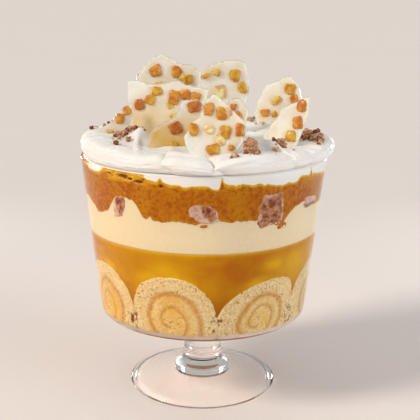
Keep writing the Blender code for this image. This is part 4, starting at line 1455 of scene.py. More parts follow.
    def build(self, finish: CreamFinish) -> Piece:
        """Build the cream.

        Args:
            finish: The cream's finish.

        Returns:
            The cream as one piece.
        """
        azimuth = all_round(self.columns)
        out = outward(azimuth)
        low = self.layers.coulis_edge(azimuth) - 0.0007
        rows: list[Array] = [out * 0.055 + UP * low.min()]
        for share in np.linspace(0.0, 1.0, 14):
            height = low + (self.gathered - low) * share
            rows.append(out * (self.bowl.inner(height) + REACH.cream)[:, None] + UP * height[:, None])
        lip = self.bowl.rim_height
        middle = self.bowl.rim_radius - self.bowl.thickness / 2
        inside = float(self.bowl.inner(lip))
        rows.append(out * (inside + 0.0001) + UP * (lip + 0.0001))
        base = lip + self.clearance
        tight = eased(np.abs(away(azimuth, -66.0)), 28.0, 48.0)
        for angle in np.radians(np.linspace(-76.0, 90.0, self.edge_rows)):
            lean = 3.4 * math.sin(angle)
            wobble = noise(out * 0.1 + UP * 0.02 * math.sin(angle), 0.014, 71)
            reach, _ = self.lobed(azimuth + lean + 2.2 * wobble)
            ring = np.concatenate([out[:, :2], UP[2:] * np.full((self.columns, 1), math.sin(angle))], axis=1)
            lumps = 0.0009 * rough(ring * 0.1, 0.014, 3, 73) * math.cos(angle)
            level = np.full_like(azimuth, self.fold_height * math.sin(angle))
            drawn = np.stack([azimuth * 0.00033, level, 0 * azimuth], -1)
            lumps += 0.00038 * noise(drawn, 0.004, 77) * math.cos(angle) * (1 - tight * 0.5)
            furthest = np.maximum(middle + reach, inside + 0.0004)
            core = furthest - self.roundness
            crown = self.top(out[:, :2] * core[:, None])
            half = (crown - base) / 2.0
            power = np.where(angle < 0, 0.85 - 0.50 * (1 - tight), 0.85)
            radius = core + self.roundness * math.cos(angle) ** power + lumps
            height = base + half * (1.0 + math.sin(angle))
            rows.append(out * radius[:, None] + UP * height[:, None])
        last = core
        for share in np.linspace(0.0, 1.0, self.top_rows)[1:]:
            radius = last + (self.centre_gap - last) * share
            spots = out[:, :2] * radius[:, None]
            rows.append(np.concatenate([spots, self.top(spots)[:, None]], axis=1))
        rings = np.stack(rows)
        body = skin_of(rings, UP * low.min(), rings[-1].mean(axis=0))
        return settle(make_object("cream_lobes", *body), "whipped_cream", finish.make())


# ---- chocolate shards and their peel --------------------------------------------------------
@dataclass(frozen=True)
class Shard:
    """A broken piece of white chocolate: foot, turn, lean, corners across and up its face, and bends."""

    name: str
    foot: tuple[float, float, float]
    turn: float
    lean: float
    corners: Table
    bend: float = 0.6
    # strength of the painted warm glow low on the face, where light would come through the chocolate
    painted_glow_and_tint: float = 0.0

    @property
    def node(self) -> str:
        """The solid that it stands for."""
        return "chocolate_shard_" + self.name

    def frame(self) -> tuple[Array, Array, Array, Array]:
        """Foot point, and directions across, up and out of the face."""
        turn, lean = math.radians(self.turn), math.radians(self.lean)
        across = np.array([math.cos(turn), math.sin(turn), 0.0])
        level = np.array([math.sin(turn), -math.cos(turn), 0.0])
        up = UP * math.cos(lean) - level * math.sin(lean)
        out = level * math.cos(lean) + UP * math.sin(lean)
        return np.array(self.foot) * MM, across, up, out

    def warp(self, flat: Array) -> Array:
        """How far the plate stands off its plane at points across and up its face."""
        across, up = flat[..., 0] / 0.030, flat[..., 1] / 0.050
        solid = np.concatenate([flat, np.full_like(flat[..., :1], len(self.node) * 0.01)], axis=-1)
        bow = self.bend * MM * (across * across + 0.7 * across * (up - 0.4) - 0.5 * up * up)
        return bow + 0.0004 * noise(solid, 0.016, 81)


@dataclass
class Shards:
    """The chocolate shards that stand in the cream."""

    thickness: float = 0.0026
    step: float = 0.0011
    spacing: float = 0.0017
    shapes: tuple[Shard, ...] = (
        Shard("front", (4, -80, 221.5), -4, 17,
              ((-17, 5), (-20, 14), (-13, 26), (-8, 30), (-5, 42), (3, 48), (10, 42), (22, 31),
               (28, 25), (25, 11), (14, -7), (-10, -8)), 0.9),
        Shard("front_left", (-30, -50, 223.5), 6, 14,
              ((-18, -8), (-18, -1), (-12, 10), (-5, 18), (8, 23), (13, 36), (25, 37), (33, 31),
               (38, 18), (35, -8)), 0.8, 1.0),
        Shard("left", (-46, 14, 225.5), -8, 12,
              ((-19, -8), (-21, 22), (-22, 43), (-13, 43), (-2, 39), (11, 41), (22, 44), (29, 40),
               (49, 37), (47, 27), (40, 12), (24, -7)), -0.7, 0.55),
        Shard("back_left", (-28, 44, 226), 4, 9,
              ((-22, -9), (-31, 12), (-32, 38), (-25, 53), (-11, 64), (6, 55), (17, 53), (25, 47),
               (21, 20), (12, -9)), 0.8),
        Shard("back_sliver", (-50, 60, 226), 12, 6,
              ((-7, -8), (-12, 34), (-11, 42), (-5, 49), (3, 42), (4, -8)), 0.3),
        Shard("back_right", (22, 24, 226), 8, 8,
              ((-12, -8), (-23, 17), (-25, 48), (-16, 56), (-3, 60), (15, 58), (18, 36), (17, 29),
               (10, 10), (8, -8)), -0.8),
        Shard("centre", (36, -8, 225), -6, 10,
              ((-15, -8), (-18, 14), (-17, 27), (-12, 32), (-6, 31), (1, 21), (-1, 10), (-3, -8)), 0.5),
        Shard("back", (64, 60, 225.5), -12, 11,
              ((-14, -8), (-18, 8), (-15, 20), (-9, 35), (3, 39), (13, 44), (20, 35), (25, 24),
               (23, 10), (16, -8)), 0.8),
        Shard("right", (64, -28, 223), -33, 10,
              ((-12, -8), (-17, 5), (-11, 14), (-2, 28), (10, 34), (21, 40), (22, 30), (20, 17),
               (15, 2), (10, -8)), 0.7),
        Shard("far_left", (-80, -8, 223), 18, 25,
              ((-10, -7), (-11, 2), (-3, 10), (4, 14), (11, 23), (21, 29), (22, 14), (15, -7)), 0.5, 0.3),
    )

    def named(self, name: str) -> Shard:
        """The shard of a name."""
        return next(shape for shape in self.shapes if shape.name == name)

    def outline(self, shape: Shard) -> Array:
        """A shard's broken edge.

        Args:
            shape: The shard.

        Returns:
            Points across and up its face, in metres.
        """
        corners = np.array(shape.corners) * MM
        line = []
        for first, second in zip(corners, np.roll(corners, -1, axis=0)):
            steps = max(2, int(np.linalg.norm(second - first) / self.step))
            line += [first + (second - first) * k / steps for k in range(steps)]
        edge = np.array(line)
        edge = 0.5 * edge + 0.25 * (np.roll(edge, 1, axis=0) + np.roll(edge, -1, axis=0))
        along = np.roll(edge, -1, axis=0) - np.roll(edge, 1, axis=0)
        normal = np.stack([along[:, 1], -along[:, 0]], axis=-1)
        normal /= np.linalg.norm(normal, axis=-1, keepdims=True)
        solid = np.column_stack([edge, np.full(len(edge), shape.turn * 0.01)])
        ragged = 0.00065 * rough(solid, 0.0065, 3, 91) - 0.0007 * pits(solid, 0.0085, 0.5, 93)
        return edge + normal * ragged[:, None]

    def filling(self, edge: Array) -> Array:
        """Points inside an edge, in rows set off by half a space."""
        low, high = edge.min(axis=0), edge.max(axis=0)
        rows = np.arange(low[1], high[1], self.spacing * 0.87)
        spots = [
            (x + (row % 2) * self.spacing / 2, y)
            for row, y in enumerate(rows) for x in np.arange(low[0], high[0], self.spacing)
        ]
        grid = np.array(spots)
        first, second = edge, np.roll(edge, -1, axis=0)
        crosses = (first[None, :, 1] > grid[:, None, 1]) != (second[None, :, 1] > grid[:, None, 1])
        rise = second[:, 1] - first[:, 1]
        rise = np.where(np.abs(rise) < TINY, TINY, rise)
        where = first[:, 0] + (grid[:, None, 1] - first[:, 1]) / rise * (second[:, 0] - first[:, 0])
        inside = (crosses & (grid[:, None, 0] < where)).sum(axis=1) % 2 == 1
        clear = self.distance(grid, edge) > 0.45 * self.spacing
        return grid[inside & clear]

    def distance(self, spots: Array, edge: Array) -> Array:
        """Distance of spots from the nearest point of an edge."""
        return np.linalg.norm(spots[:, None, :] - edge[None], axis=-1).min(axis=1)

    def build_shard(self, shape: Shard, material: Material) -> Piece:
        """Build one shard as a thin, slightly bent plate with a rough edge.

        Args:
            shape: The shard.
            material: Its finish.

        Returns:
            The shard.
        """
        edge = self.outline(shape)
        count = len(edge)
        flat = np.vstack([edge, self.filling(edge)])
        links = [(k, (k + 1) % count) for k in range(count)]
        found = delaunay_2d_cdt([Vector(spot) for spot in flat.tolist()], links, [], 1, 1e-7)
        flat = np.array([spot[:] for spot in found[0]])
        total = len(flat)
        faces = [list(face) for face in found[2]]
        ring = [links_in[0] for links_in in self.in_order(found[3], count)]
        apart = self.distance(flat, edge)
        solid = np.column_stack([flat, np.full(total, shape.turn * 0.01)])
        half = self.thickness / 2 * (0.74 + 0.26 * eased(apart, 0.0, 0.0014))
        half = half + 0.00022 * noise(solid, 0.009, 95)
        warp = shape.warp(flat)
        origin, across, up, out = shape.frame()
        base = origin + flat[:, :1] * across + flat[:, 1:] * up + warp[:, None] * out
        front = base + half[:, None] * out
        back = base - half[:, None] * out
        rim = base[ring] + 0.15 * (noise(solid[ring], 0.003, 97) * MM)[:, None] * out
        middle = base[ring].mean(axis=0)
        push = base[ring] - middle
        rim = rim + 0.00028 * push / np.linalg.norm(push, axis=1, keepdims=True)
        points = np.vstack([front, back, rim])
        sides = faces + [[corner + total for corner in reversed(face)] for face in faces]
        for k in range(count):
            after = (k + 1) % count
            first, second, low, high = ring[k], ring[after], 2 * total + k, 2 * total + after
            sides.append([second, first, low, high])
            sides.append([high, low, first + total, second + total])
        lift = flat[:, 1]
        # painted highlight along the broken edge
        edge_highlight = 1.0 - eased(apart, 0.0003, 0.0026)
        # painted glow of light through the chocolate low on the face, and an amber tint round each cube of
        # peel
        glow_and_tint = shape.painted_glow_and_tint * (1.0 - eased(lift, 0.008, 0.034)) * (0.85 + 0.35 * noise(solid, 0.012, 99))
        for across_at, up_at in self.cubes_on(shape):
            reach = np.hypot(flat[:, 0] - across_at, flat[:, 1] - up_at)
            glow_and_tint = np.maximum(glow_and_tint, 0.45 * np.exp(-((reach / 0.0068) ** 2)))
        traits = {
            "edge": np.concatenate([edge_highlight, edge_highlight, np.ones(count)]),
            "painted_glow_and_tint": np.clip(np.concatenate([*[glow_and_tint * (1 - 0.7 * edge_highlight)] * 2, 0.25 * glow_and_tint[ring]]), 0.0, 1.0),
        }
        piece = make_object("bark_" + shape.name, points, sides, traits)
        return settle(piece, shape.node, material)

    def cubes_on(self, shape: Shard) -> list[tuple[float, float]]:
        """Where the cubes of peel sit on a shard, across and up its face, in metres."""
        cubes = (*LARGE_PEEL, *SMALL_PEEL)
        return [(cube.across * MM, cube.up * MM) for cube in cubes if cube.shard == shape.name]

    def in_order(self, origins: Faces, count: int) -> Faces:
        """For each edge point as given, the numbers of the points that it became."""
        places: Faces = [[] for _ in range(count)]
        for number, sources in enumerate(origins):
            for source in sources:
                if source < count:
                    places[source].append(number)
        return places

    def collars(self) -> tuple[Ridge, ...]:
        """Low lips of cream pushed up round the foot of each shard."""
        made = []
        for shape in self.shapes:
            foot, across, _, _ = shape.frame()
            sides = [corner[0] for corner in shape.corners if corner[1] < 6]
            start, end = (foot[:2] + across[:2] * side * MM for side in (min(sides), max(sides)))
            made.append(Ridge(tuple(start / MM), tuple(end / MM), 0.0, 1.1, 4.0))
        return tuple(made)

    def build(self, finish: ChocolateFinish) -> list[Piece]:
        """Build and dress every shard."""
        material = finish.make()
        return [self.build_shard(shape, material) for shape in self.shapes]


@dataclass(frozen=True)
class Cube:
    """A cube of peel on a shard: where across and up its face, its size in millimetres, turn and shade."""

    shard: str
    across: float
    up: float
    width: float
    height: float
    turn: float
    shade: Peel
    stand: float = 2.1


@dataclass
class CandiedPeel:
    """Cubes of candied peel set in the chocolate."""

    shards: Shards
    rounding: float = 0.58
    cuts: int = 12
    swell: float = 1.13

    def lump(self, cube: Cube, seed: int) -> tuple[Array, Faces]:
        """One cube's mesh, set on the face of its shard.

        Args:
            cube: The cube.
            seed: Which unevenness.

        Returns:
            Its points and faces.
        """
        points, faces = block(self.cuts)
        inner = 1.0 - self.rounding
        kept = np.clip(points, -inner, inner)
        rest = points - kept
        length = np.maximum(np.linalg.norm(rest, axis=1, keepdims=True), 1e-9)
        points = kept + rest / length * self.rounding
        dice = np.random.default_rng(seed)
        points[:, 0] *= 1.0 + 0.22 * points[:, 1] * dice.uniform(-1, 1)
        points[:, 1] *= 1.0 + 0.22 * points[:, 0] * dice.uniform(-1, 1)
        points[:, :2] *= 1.0 - 0.14 * np.clip(points[:, 2:], 0, 1)
        uneven = 0.13 * rough(points, 0.9, 2, seed) + 0.05 * rough(points, 0.3, 2, seed)
        points = points * (1.0 + uneven)[:, None]
        shape = self.shards.named(cube.shard)
        origin, across, up, out = shape.frame()
        spot = np.array([cube.across, cube.up]) * MM
        turn = math.radians(cube.turn)
        along = across * math.cos(turn) + up * math.sin(turn)
        over = up * math.cos(turn) - across * math.sin(turn)
        half = np.array([cube.width * self.swell, cube.height * self.swell, cube.stand + 1.2]) / 2 * MM
        seat = self.shards.thickness / 2 + float(shape.warp(spot[None])[0]) + (cube.stand - 1.2) / 2 * MM
        centre = origin + across * spot[0] + up * spot[1] + out * seat
        local = points * half
        return centre + local[:, :1] * along + local[:, 1:2] * over + local[:, 2:] * out, faces

    def build(self, finishes: dict[Peel, Material]) -> list[Piece]:
        """Build every cube.

        Args:
            finishes: The material of each shade.

        Returns:
            The cubes.
        """
        made = []
        for number, cube in enumerate(LARGE_PEEL, start=1):
            piece = make_object(f"peel_cube_{number}", *self.lump(cube, 300 + number))
            made.append(settle(piece, f"candied_peel_{number}", finishes[cube.shade]))
        return made

    def build_small(self, finishes: dict[Peel, Material]) -> Piece:
        """The smaller bits of peel, half sunk in the chocolate, as one piece.

        Args:
            finishes: The material of each shade.

        Returns:
            The piece.
        """
        shades = list(Peel)
        batch = Batch()
        for number, cube in enumerate(SMALL_PEEL):
            batch.add(*self.lump(cube, 500 + number), shades.index(cube.shade))
        return settle(batch.build("peel_small", [finishes[shade] for shade in shades]))


def cubes_from(table: dict[str, tuple[tuple[float | Peel, ...], ...]]) -> tuple[Cube, ...]:
    """Cubes from rows of their values under each shard's name."""
    return tuple(Cube(shard, *row) for shard, rows in table.items() for row in rows)


ORANGE, RUST, GOLD, LEMON, PALE = Peel
LARGE_PEEL = cubes_from({
    "front": (
        (-12, 20, 6.5, 9, 8, GOLD), (-1.2, 35.5, 6.5, 8.5, -4, ORANGE), (8.7, 32.5, 7, 8.5, 5, GOLD),
        (12, 18.7, 7.5, 8.5, -14, GOLD), (2.9, 4.8, 8.5, 7.4, 12, GOLD), (23.4, 20.4, 6, 8.5, 3, ORANGE),
    ),
    "front_left": ((7.7, 14, 9, 9, 24, RUST), (22.7, 30.8, 9, 8, 8, RUST),),
    "left": (
        (4.5, 34.2, 8.2, 6.2, 4, GOLD), (-1.8, 26.6, 7.8, 7.2, -6, GOLD), (-10.8, 22, 7.4, 8, 10, RUST),
        (19.6, 29, 8, 10.5, -8, ORANGE), (29.2, 31.6, 7.4, 8, 14, ORANGE),
        (38.4, 29.7, 7.4, 7, -10, ORANGE),
    ),
    "back_left": (
        (-15.4, 47.4, 9.5, 9.5, 20, ORANGE), (3.6, 46.6, 8, 8.5, -12, ORANGE),
        (14, 40, 7.5, 7, 16, GOLD),
    ),
    "back_right": ((5.6, 46, 8.5, 9, 0, GOLD), (12, 35.6, 6.5, 8, 6, GOLD),),
    "back": ((13.4, 31.4, 8.5, 8.5, -6, GOLD), (17.8, 22.2, 6, 7.5, 10, ORANGE),),
    "right": (
        (15.8, 31.6, 7.5, 8.5, -4, ORANGE), (13.2, 17.7, 7.5, 8.5, 12, ORANGE),
        (8.4, 6.2, 7.5, 8, 4, GOLD),
    ),
    "far_left": ((10.6, 15.6, 6, 8, -6, ORANGE), (17.6, 22.2, 5.6, 7, 14, ORANGE),),
})
SMALL_PEEL = cubes_from({
    "front": (
        (-0.5, 20.5, 7, 5.5, -18, PALE, 1.6), (8.2, 12, 7, 8, 10, PALE, 1.2),
        (17, 6.5, 4, 4, 5, GOLD, 1.8), (13.5, 34, 5, 6, 20, PALE, 1.6),
    ),
    "front_left": ((6, 1, 6, 5, 10, GOLD, 1.4),),
    "left": ((20, 12, 6, 5, 12, LEMON, 1.4), (16, 22, 4.5, 4.5, 30, LEMON, 1.4),),
    "back_left": ((9.5, 42, 6, 5, -20, LEMON, 1.6), (-12, 36, 5, 4.5, 15, LEMON, 1.2),),
    "back_right": (
        (-11, 49, 6, 5, -8, LEMON, 2), (-20, 46, 6, 3.4, 24, GOLD, 2.4), (-7, 32, 9, 11, 12, PALE, 0.8),
        (-13, 26, 5, 6, -10, PALE, 1),
    ),
    "centre": (
        (-7, 16, 4.4, 8, 6, ORANGE, 2), (-12, 24, 4.5, 5, -10, ORANGE, 1.8),
        (-8.5, 8, 5.5, 4.5, 20, PALE, 1.2),
    ),
    "back": (
        (1.5, 21, 8, 5.5, 40, LEMON, 1.8), (-8, 9, 7, 5.5, 10, ORANGE, 2),
        (0.5, 8, 4.5, 4.5, 25, GOLD, 1.4),
    ),
    "far_left": ((1, 4, 5, 4, 12, LEMON, 1),),
})


# ---- amaretti and crumbs --------------------------------------------------------------------
@dataclass(frozen=True)
class TopBiscuit:
    """Amaretti on the cream: place and half-sizes in millimetres, turn, how far it is sunk, and lean."""

    spot: str
    x: float
    y: float
    size: tuple[float, float, float]
    turn: float
    sunk: float = 0.35
    lean: float = 0.0


@dataclass
class Amaretti:
    """Pieces of amaretti at the glass and on the cream, and the crumbs among them."""

    bowl: Bowl
    around: int = 132
    rows: int = 34
    furthest: float = 101.0
    fine_from: float = 1.2
    drop_from: float = 0.3
    on_top: tuple[TopBiscuit, ...] = (
        TopBiscuit("top_front", 36.2, -84.0, (5.8, 4.8, 7.0), 10, 0.25, -0.18),
        TopBiscuit("top_front_right", 59.0, -55.5, (6.8, 5.0, 4.8), -25, 0.30),
        TopBiscuit("top_right", 86.0, -12.0, (5.6, 5.6, 3.2), 15, 0.30),
        TopBiscuit("top_far_right", 93.6, -23.0, (5.4, 5.0, 3.4), -10, 0.30),
        TopBiscuit("top_left", -68.0, -18.0, (5.4, 3.8, 2.6), 12, 0.30),
    )

    def pressed(self, piece: WallBiscuit, seed: int) -> tuple[Array, Faces, dict[str, Array]]:
        """A ragged lump whose face lies on the glass.

        Args:
            piece: Its place and sizes.
            seed: Which unevenness.

        Returns:
            Its points, faces and traits.
        """
        turn = 2.0 * np.pi * np.arange(self.around) / self.around
        angle, share = np.meshgrid(turn, np.linspace(0.0, 1.0, self.rows)[1:])
        cosine, sine = np.cos(angle), np.sin(angle)
        rim = np.stack([cosine, sine, np.zeros_like(cosine)], axis=-1)
        ragged = 1.0 + 0.17 * rough(rim, 0.8, 2, seed) + 0.11 * rough(rim, 0.26, 3, seed + 5) * share
        square = (np.abs(cosine) ** BISCUIT_POWER + np.abs(sine) ** BISCUIT_POWER) ** (-1 / BISCUIT_POWER)
        across = share * cosine * ragged * square * piece.across
        up = share * sine * ragged * square * piece.up
        across = across + piece.lean * up
        flat = np.stack([across, up, np.full_like(up, seed * 0.01)], axis=-1)
        crumb = rough(flat, 0.0034, 3, seed + 11)
        patch = rough(flat, 0.0055, 3, seed + 17)
        sided = share * np.cos(angle - math.radians(piece.side)) + 0.22 * patch
        smear = eased(sided, 1.0 - piece.cover, 1.30 - piece.cover)
        holes = pits(flat, 0.0036, 0.55, seed + 13) * (1.0 - 0.85 * smear) * (1.0 - eased(share, 0.75, 0.95))
        edge = 1.0 - np.sqrt(np.clip(1.0 - eased(share, 0.90, 1.0) ** 2, 0.0, 1.0))
        recess = -REACH.lump + 0.00012 * crumb + 0.0018 * holes + 0.0018 * edge
        height = piece.height + up
        wall = self.bowl.inner(np.array(piece.height))
        azimuth = piece.azimuth + np.degrees(across / wall)
        face = on_wall(azimuth, self.bowl.inner(height) - recess, height)
        heart = on_wall(np.array(piece.azimuth), wall - piece.deep, np.array(piece.height))
        back = 0.62 * face[-1:] + 0.38 * heart - outward(azimuth[-1:]) * piece.deep * 0.45
        rings = np.vstack([back, face[::-1]])
        points, faces = skin_of(rings, heart, face[0].mean(axis=0))
        thin = eased(share + 0.22 * patch + 0.10 * crumb, 0.84, 0.96) * piece.rim
        halo = np.clip(np.maximum(smear * (0.80 + 0.35 * crumb), thin), 0.0, 1.0)
        # painted shade in the holes, and darker crumb where there is no smear
        dark = np.clip(eased(holes, 0.1, 0.6) + 0.7 * eased(crumb, 0.45, 0.95) * (1 - smear), 0.0, 1.0)
        shown = (("halo", halo), ("dark", dark))
        return points, faces, face_traits([(*pair, (0.0, float(pair[1][0].mean()))) for pair in shown])

    def lump(self, size: Sequence[float], seed: int, fineness: int) -> tuple[Array, Faces, Array]:
        """A broken, porous lump about the origin.

        Args:
            size: Half-sizes in millimetres.
            seed: Which unevenness.
            fineness: How finely its ball is divided.

        Returns:
            Its points in metres, its faces, and how deep in a pit each point lies, for painted shade.
        """
        points, faces = ball(fineness)
        moved = points + seed * 7.3
        squared = np.abs(points).max(axis=1, keepdims=True)
        points = points * (0.62 + 0.38 / squared) * 0.94
        wide, fine = pits(moved, 0.52, 0.6, seed + 3), pits(moved, 0.21, 0.6, seed + 7)
        grain = rough(moved, 0.20, 3, seed + 5)
        reach = 1.0 + 0.34 * rough(moved, 0.80, 3, seed) - 0.42 * wide + 0.09 * grain - 0.22 * fine
        # how deep each point lies in a pit, for painted shade
        pit_shade = np.clip(0.9 * wide + 1.1 * fine - 0.45 * grain - 0.30, 0.0, 1.0)
        return points * reach[:, None] * np.array(size) * MM, faces, pit_shade

    def seated(
        self, points: Array, spot: tuple[float, float], turn: float, cream: BVHTree, sunk: float
    ) -> Array:
        """Turn a lump about the vertical, tip it to the cream's slope, and rest it there.

        Args:
            points: The lump's points about the origin.
            spot: Where, in millimetres.
            turn: Degrees about the vertical.
            cream: The cream's surface.
            sunk: Share of its height that is pressed in.

        Returns:
            The points in place.
        """
        above = Vector((spot[0] * MM, spot[1] * MM, self.drop_from))
        place, normal, _, _ = cream.ray_cast(above, Vector((0, 0, -1)))
        if place is None:
            raise ValueError(f"no cream under {spot}")
        tip = Vector((0, 0, 1)).rotation_difference(normal.lerp(Vector((0, 0, 1)), 0.3)).to_matrix()
        spin = np.array(tip @ Matrix.Rotation(math.radians(turn), 3, "Z"))
        low, high = points[:, 2].min(), points[:, 2].max()
        lifted = points - np.array([0, 0, low + sunk * (high - low)])
        return lifted @ spin.T + np.array(place)

    def build_wall(self, finish: SoakedFinish) -> list[Piece]:
        """Build the pieces that show through the glass."""
        material = finish.make()
        made = []
        for number, piece in enumerate(WALL_BISCUITS):
            item = make_object("biscuit_" + piece.spot, *self.pressed(piece, 700 + 31 * number))
            made.append(settle(item, "amaretti_" + piece.spot, material))
        return made

    def build_top(self, material: Material, cream: BVHTree) -> list[Piece]:
        """Build the pieces that lie on the cream.

        Args:
            material: Their material.
            cream: The cream's surface.

        Returns:
            The pieces.
        """
        made = []
        for number, piece in enumerate(self.on_top):
            points, faces, pit_shade = self.lump(piece.size, 20 + number, 5)
            points[:, 0] += piece.lean * points[:, 2]
            points = self.seated(points, (piece.x, piece.y), piece.turn, cream, piece.sunk)
            item = make_object("biscuit_" + piece.spot, points, faces, {"pit_shade": pit_shade})
            made.append(settle(item, "amaretti_" + piece.spot, material))
        return made

    def build_crumbs(self, materials: Sequence[Material], cream: BVHTree) -> Piece:
        """The crumbs round the larger pieces, as one piece.

        Args:
            materials: Dark, tan and pale crumb.
            cream: The cream's surface.

        Returns:
            The piece.
        """
        dice = np.random.default_rng(11)
        batch = Batch()
        crumbs = list(CRUMBS)
        for x, y, spread, count in CRUMB_DRIFTS:
            for _ in range(count):
                place = dice.normal(0.0, spread, 2)
                size = 0.35 + 0.75 * dice.random() ** 2
                crumbs.append((x + place[0], y + place[1], size, int(dice.integers(3))))
        for number, (x, y, size, shade) in enumerate(crumbs):
            ratio = 0.75 + 0.5 * dice.random(3)
            points, faces, _ = self.lump(ratio * size, 60 + number, 4 if size > self.fine_from else 2)
            spot = np.array([x, y])
            reach = np.linalg.norm(spot)
            if reach > self.furthest:
                spot = spot * self.furthest / reach
            placed = self.seated(points, tuple(spot), 360.0 * dice.random(), cream, 0.25)
            batch.add(placed, faces, shade)
        return settle(batch.build("amaretti_crumbs", materials))


# x, y and half-size in millimetres, and shade: 0 dark, 1 tan, 2 pale
CRUMBS: Table = (
    (23, -98, 2, 2), (26, -100, 1.1, 0), (21, -100, 0.9, 0), (25, -93, 1.2, 2), (43, -99, 1.6, 1),
    (20, -101, 0.8, 2), (55, -67, 1.9, 2), (58, -68, 1.8, 2), (58, -89, 0.6, 2), (66, -50, 1.2, 0),
    (63, -60, 1.1, 0), (65, -56, 1, 2), (61, -65, 1.2, 0), (55, -59, 1.5, 0), (41, -90, 1.3, 0),
    (31, -89, 1.4, 0), (36, -91, 1.5, 1), (38, -80, 1.4, 2), (81, -15, 2.4, 0), (84, -14, 2.4, 1),
    (86, -18, 2, 1), (89, -13, 2, 0), (88, -20, 2.2, 0), (93, -13, 2.2, 0), (91, -23, 2.2, 0),
    (95, -27, 2, 0), (97, -17, 2.2, 1), (98, -22, 2.4, 1), (98, -29, 2, 1), (96, -34, 2, 2),
    (94, -39, 1.6, 0), (79, -18, 1.2, 0), (83, -22, 1, 0), (92, -30, 1.1, 2), (87, -26, 0.9, 1),
    (96, -8, 1.8, 0), (-96, 1, 2.3, 0), (-94, 14, 1.8, 2), (-91, 22, 1.1, 2), (-88, 33, 1.7, 1),
    (-85, 38, 1.6, 0), (-82, 42, 1.4, 1), (-74, -20, 1.4, 0), (-70, -31, 1.5, 2), (-70, -53, 2.3, 0),
    (-67, -50, 1, 2), (-62, -35, 2.1, 1), (-62, -11, 2.2, 1), (-65, -8, 1.7, 0), (-60, -14, 1.7, 0),
    (-58, -17, 1.5, 1), (-56, -20, 2.3, 0), (-54, -21, 1.3, 2), (-73, -14, 1.9, 1), (-70, -22, 1.1, 0),
    (-64, -15, 1.4, 0), (-72, -9, 1.4, 0), (-49, -26, 1.1, 0), (-51, -23, 1, 1), (43, 74, 2.4, 0),
    (43, 68, 2.2, 2), (48, 55, 1, 2), (54, 50, 1.4, 2), (47, 77, 1.2, 1), (56, 62, 0.9, 0),
    (-20, 78, 2.2, 1), (-14, 84, 1.6, 0), (4, 80, 2.4, 2), (14, 88, 1.6, 1), (60, 66, 2, 1),
    (74, 46, 2.4, 0), (80, 38, 1.8, 1), (-50, 76, 2.2, 1), (-66, 60, 1.8, 0), (-72, 52, 2.4, 1),
    (-34, 90, 1.4, 1), (30, 92, 1.8, 0),
)
# x, y, spread and count of fine crumbs
CRUMB_DRIFTS: Table = (
    (91, -18, 6, 34), (60, -60, 5, 12), (36, -90, 6, 12), (-64, -14, 6, 24), (-88, 30, 6, 10),
    (-68, -38, 8, 8), (48, 62, 9, 16), (-58, 66, 10, 16), (8, 82, 12, 16),
)


@dataclass
class CoulisDrops:
    """Small drops of coulis that have run down the glass under the biscuits."""

    amaretti: Amaretti
    drops: Table = (
        (0.2, 0.1704, 0.0028, 0.0013), (40.0, 0.1660, 0.0024, 0.0024), (-44.6, 0.1712, 0.0010, 0.0008),
        (36.8, 0.1648, 0.0012, 0.0016),
    )

    def build(self, material: Material) -> Piece:
        """Build the drops as one piece."""
        batch = Batch()
        small = replace(self.amaretti, around=64, rows=16)
        for number, (azimuth, height, across, up) in enumerate(self.drops):
            drop = WallBiscuit("", azimuth, height, across, up, 0.0030)
            points, faces, _ = small.pressed(drop, 900 + number)
            batch.add(points, [list(face) for face in faces])
        return settle(batch.build("coulis_drops", [material]))


# ---- studio ---------------------------------------------------------------------------------
@dataclass(frozen=True)
class Lamp:
    """A soft light: its kind, where it stands, its power and colour, and what its kind alone has."""

    name: str
    kind: str
    place: tuple[float, float, float]
    power: float
    colour: Colour
    settings: dict[str, float]

    def light(self, target: Vector) -> None:
        """Put the light in the scene.

        Args:
            target: Where it points.
        """
        lamp = bpy.data.lights.new(self.name, self.kind)
        lamp.energy, lamp.color = self.power, self.colour
        for key, value in self.settings.items():
            setattr(lamp, key, value)
        item = bpy.data.objects.new(self.name, lamp)
        item.location = self.place
        item.rotation_euler = (target - Vector(self.place)).to_track_quat("-Z", "Y").to_euler()
        item.visible_camera = self.kind == "SUN"
        bpy.context.scene.collection.objects.link(item)


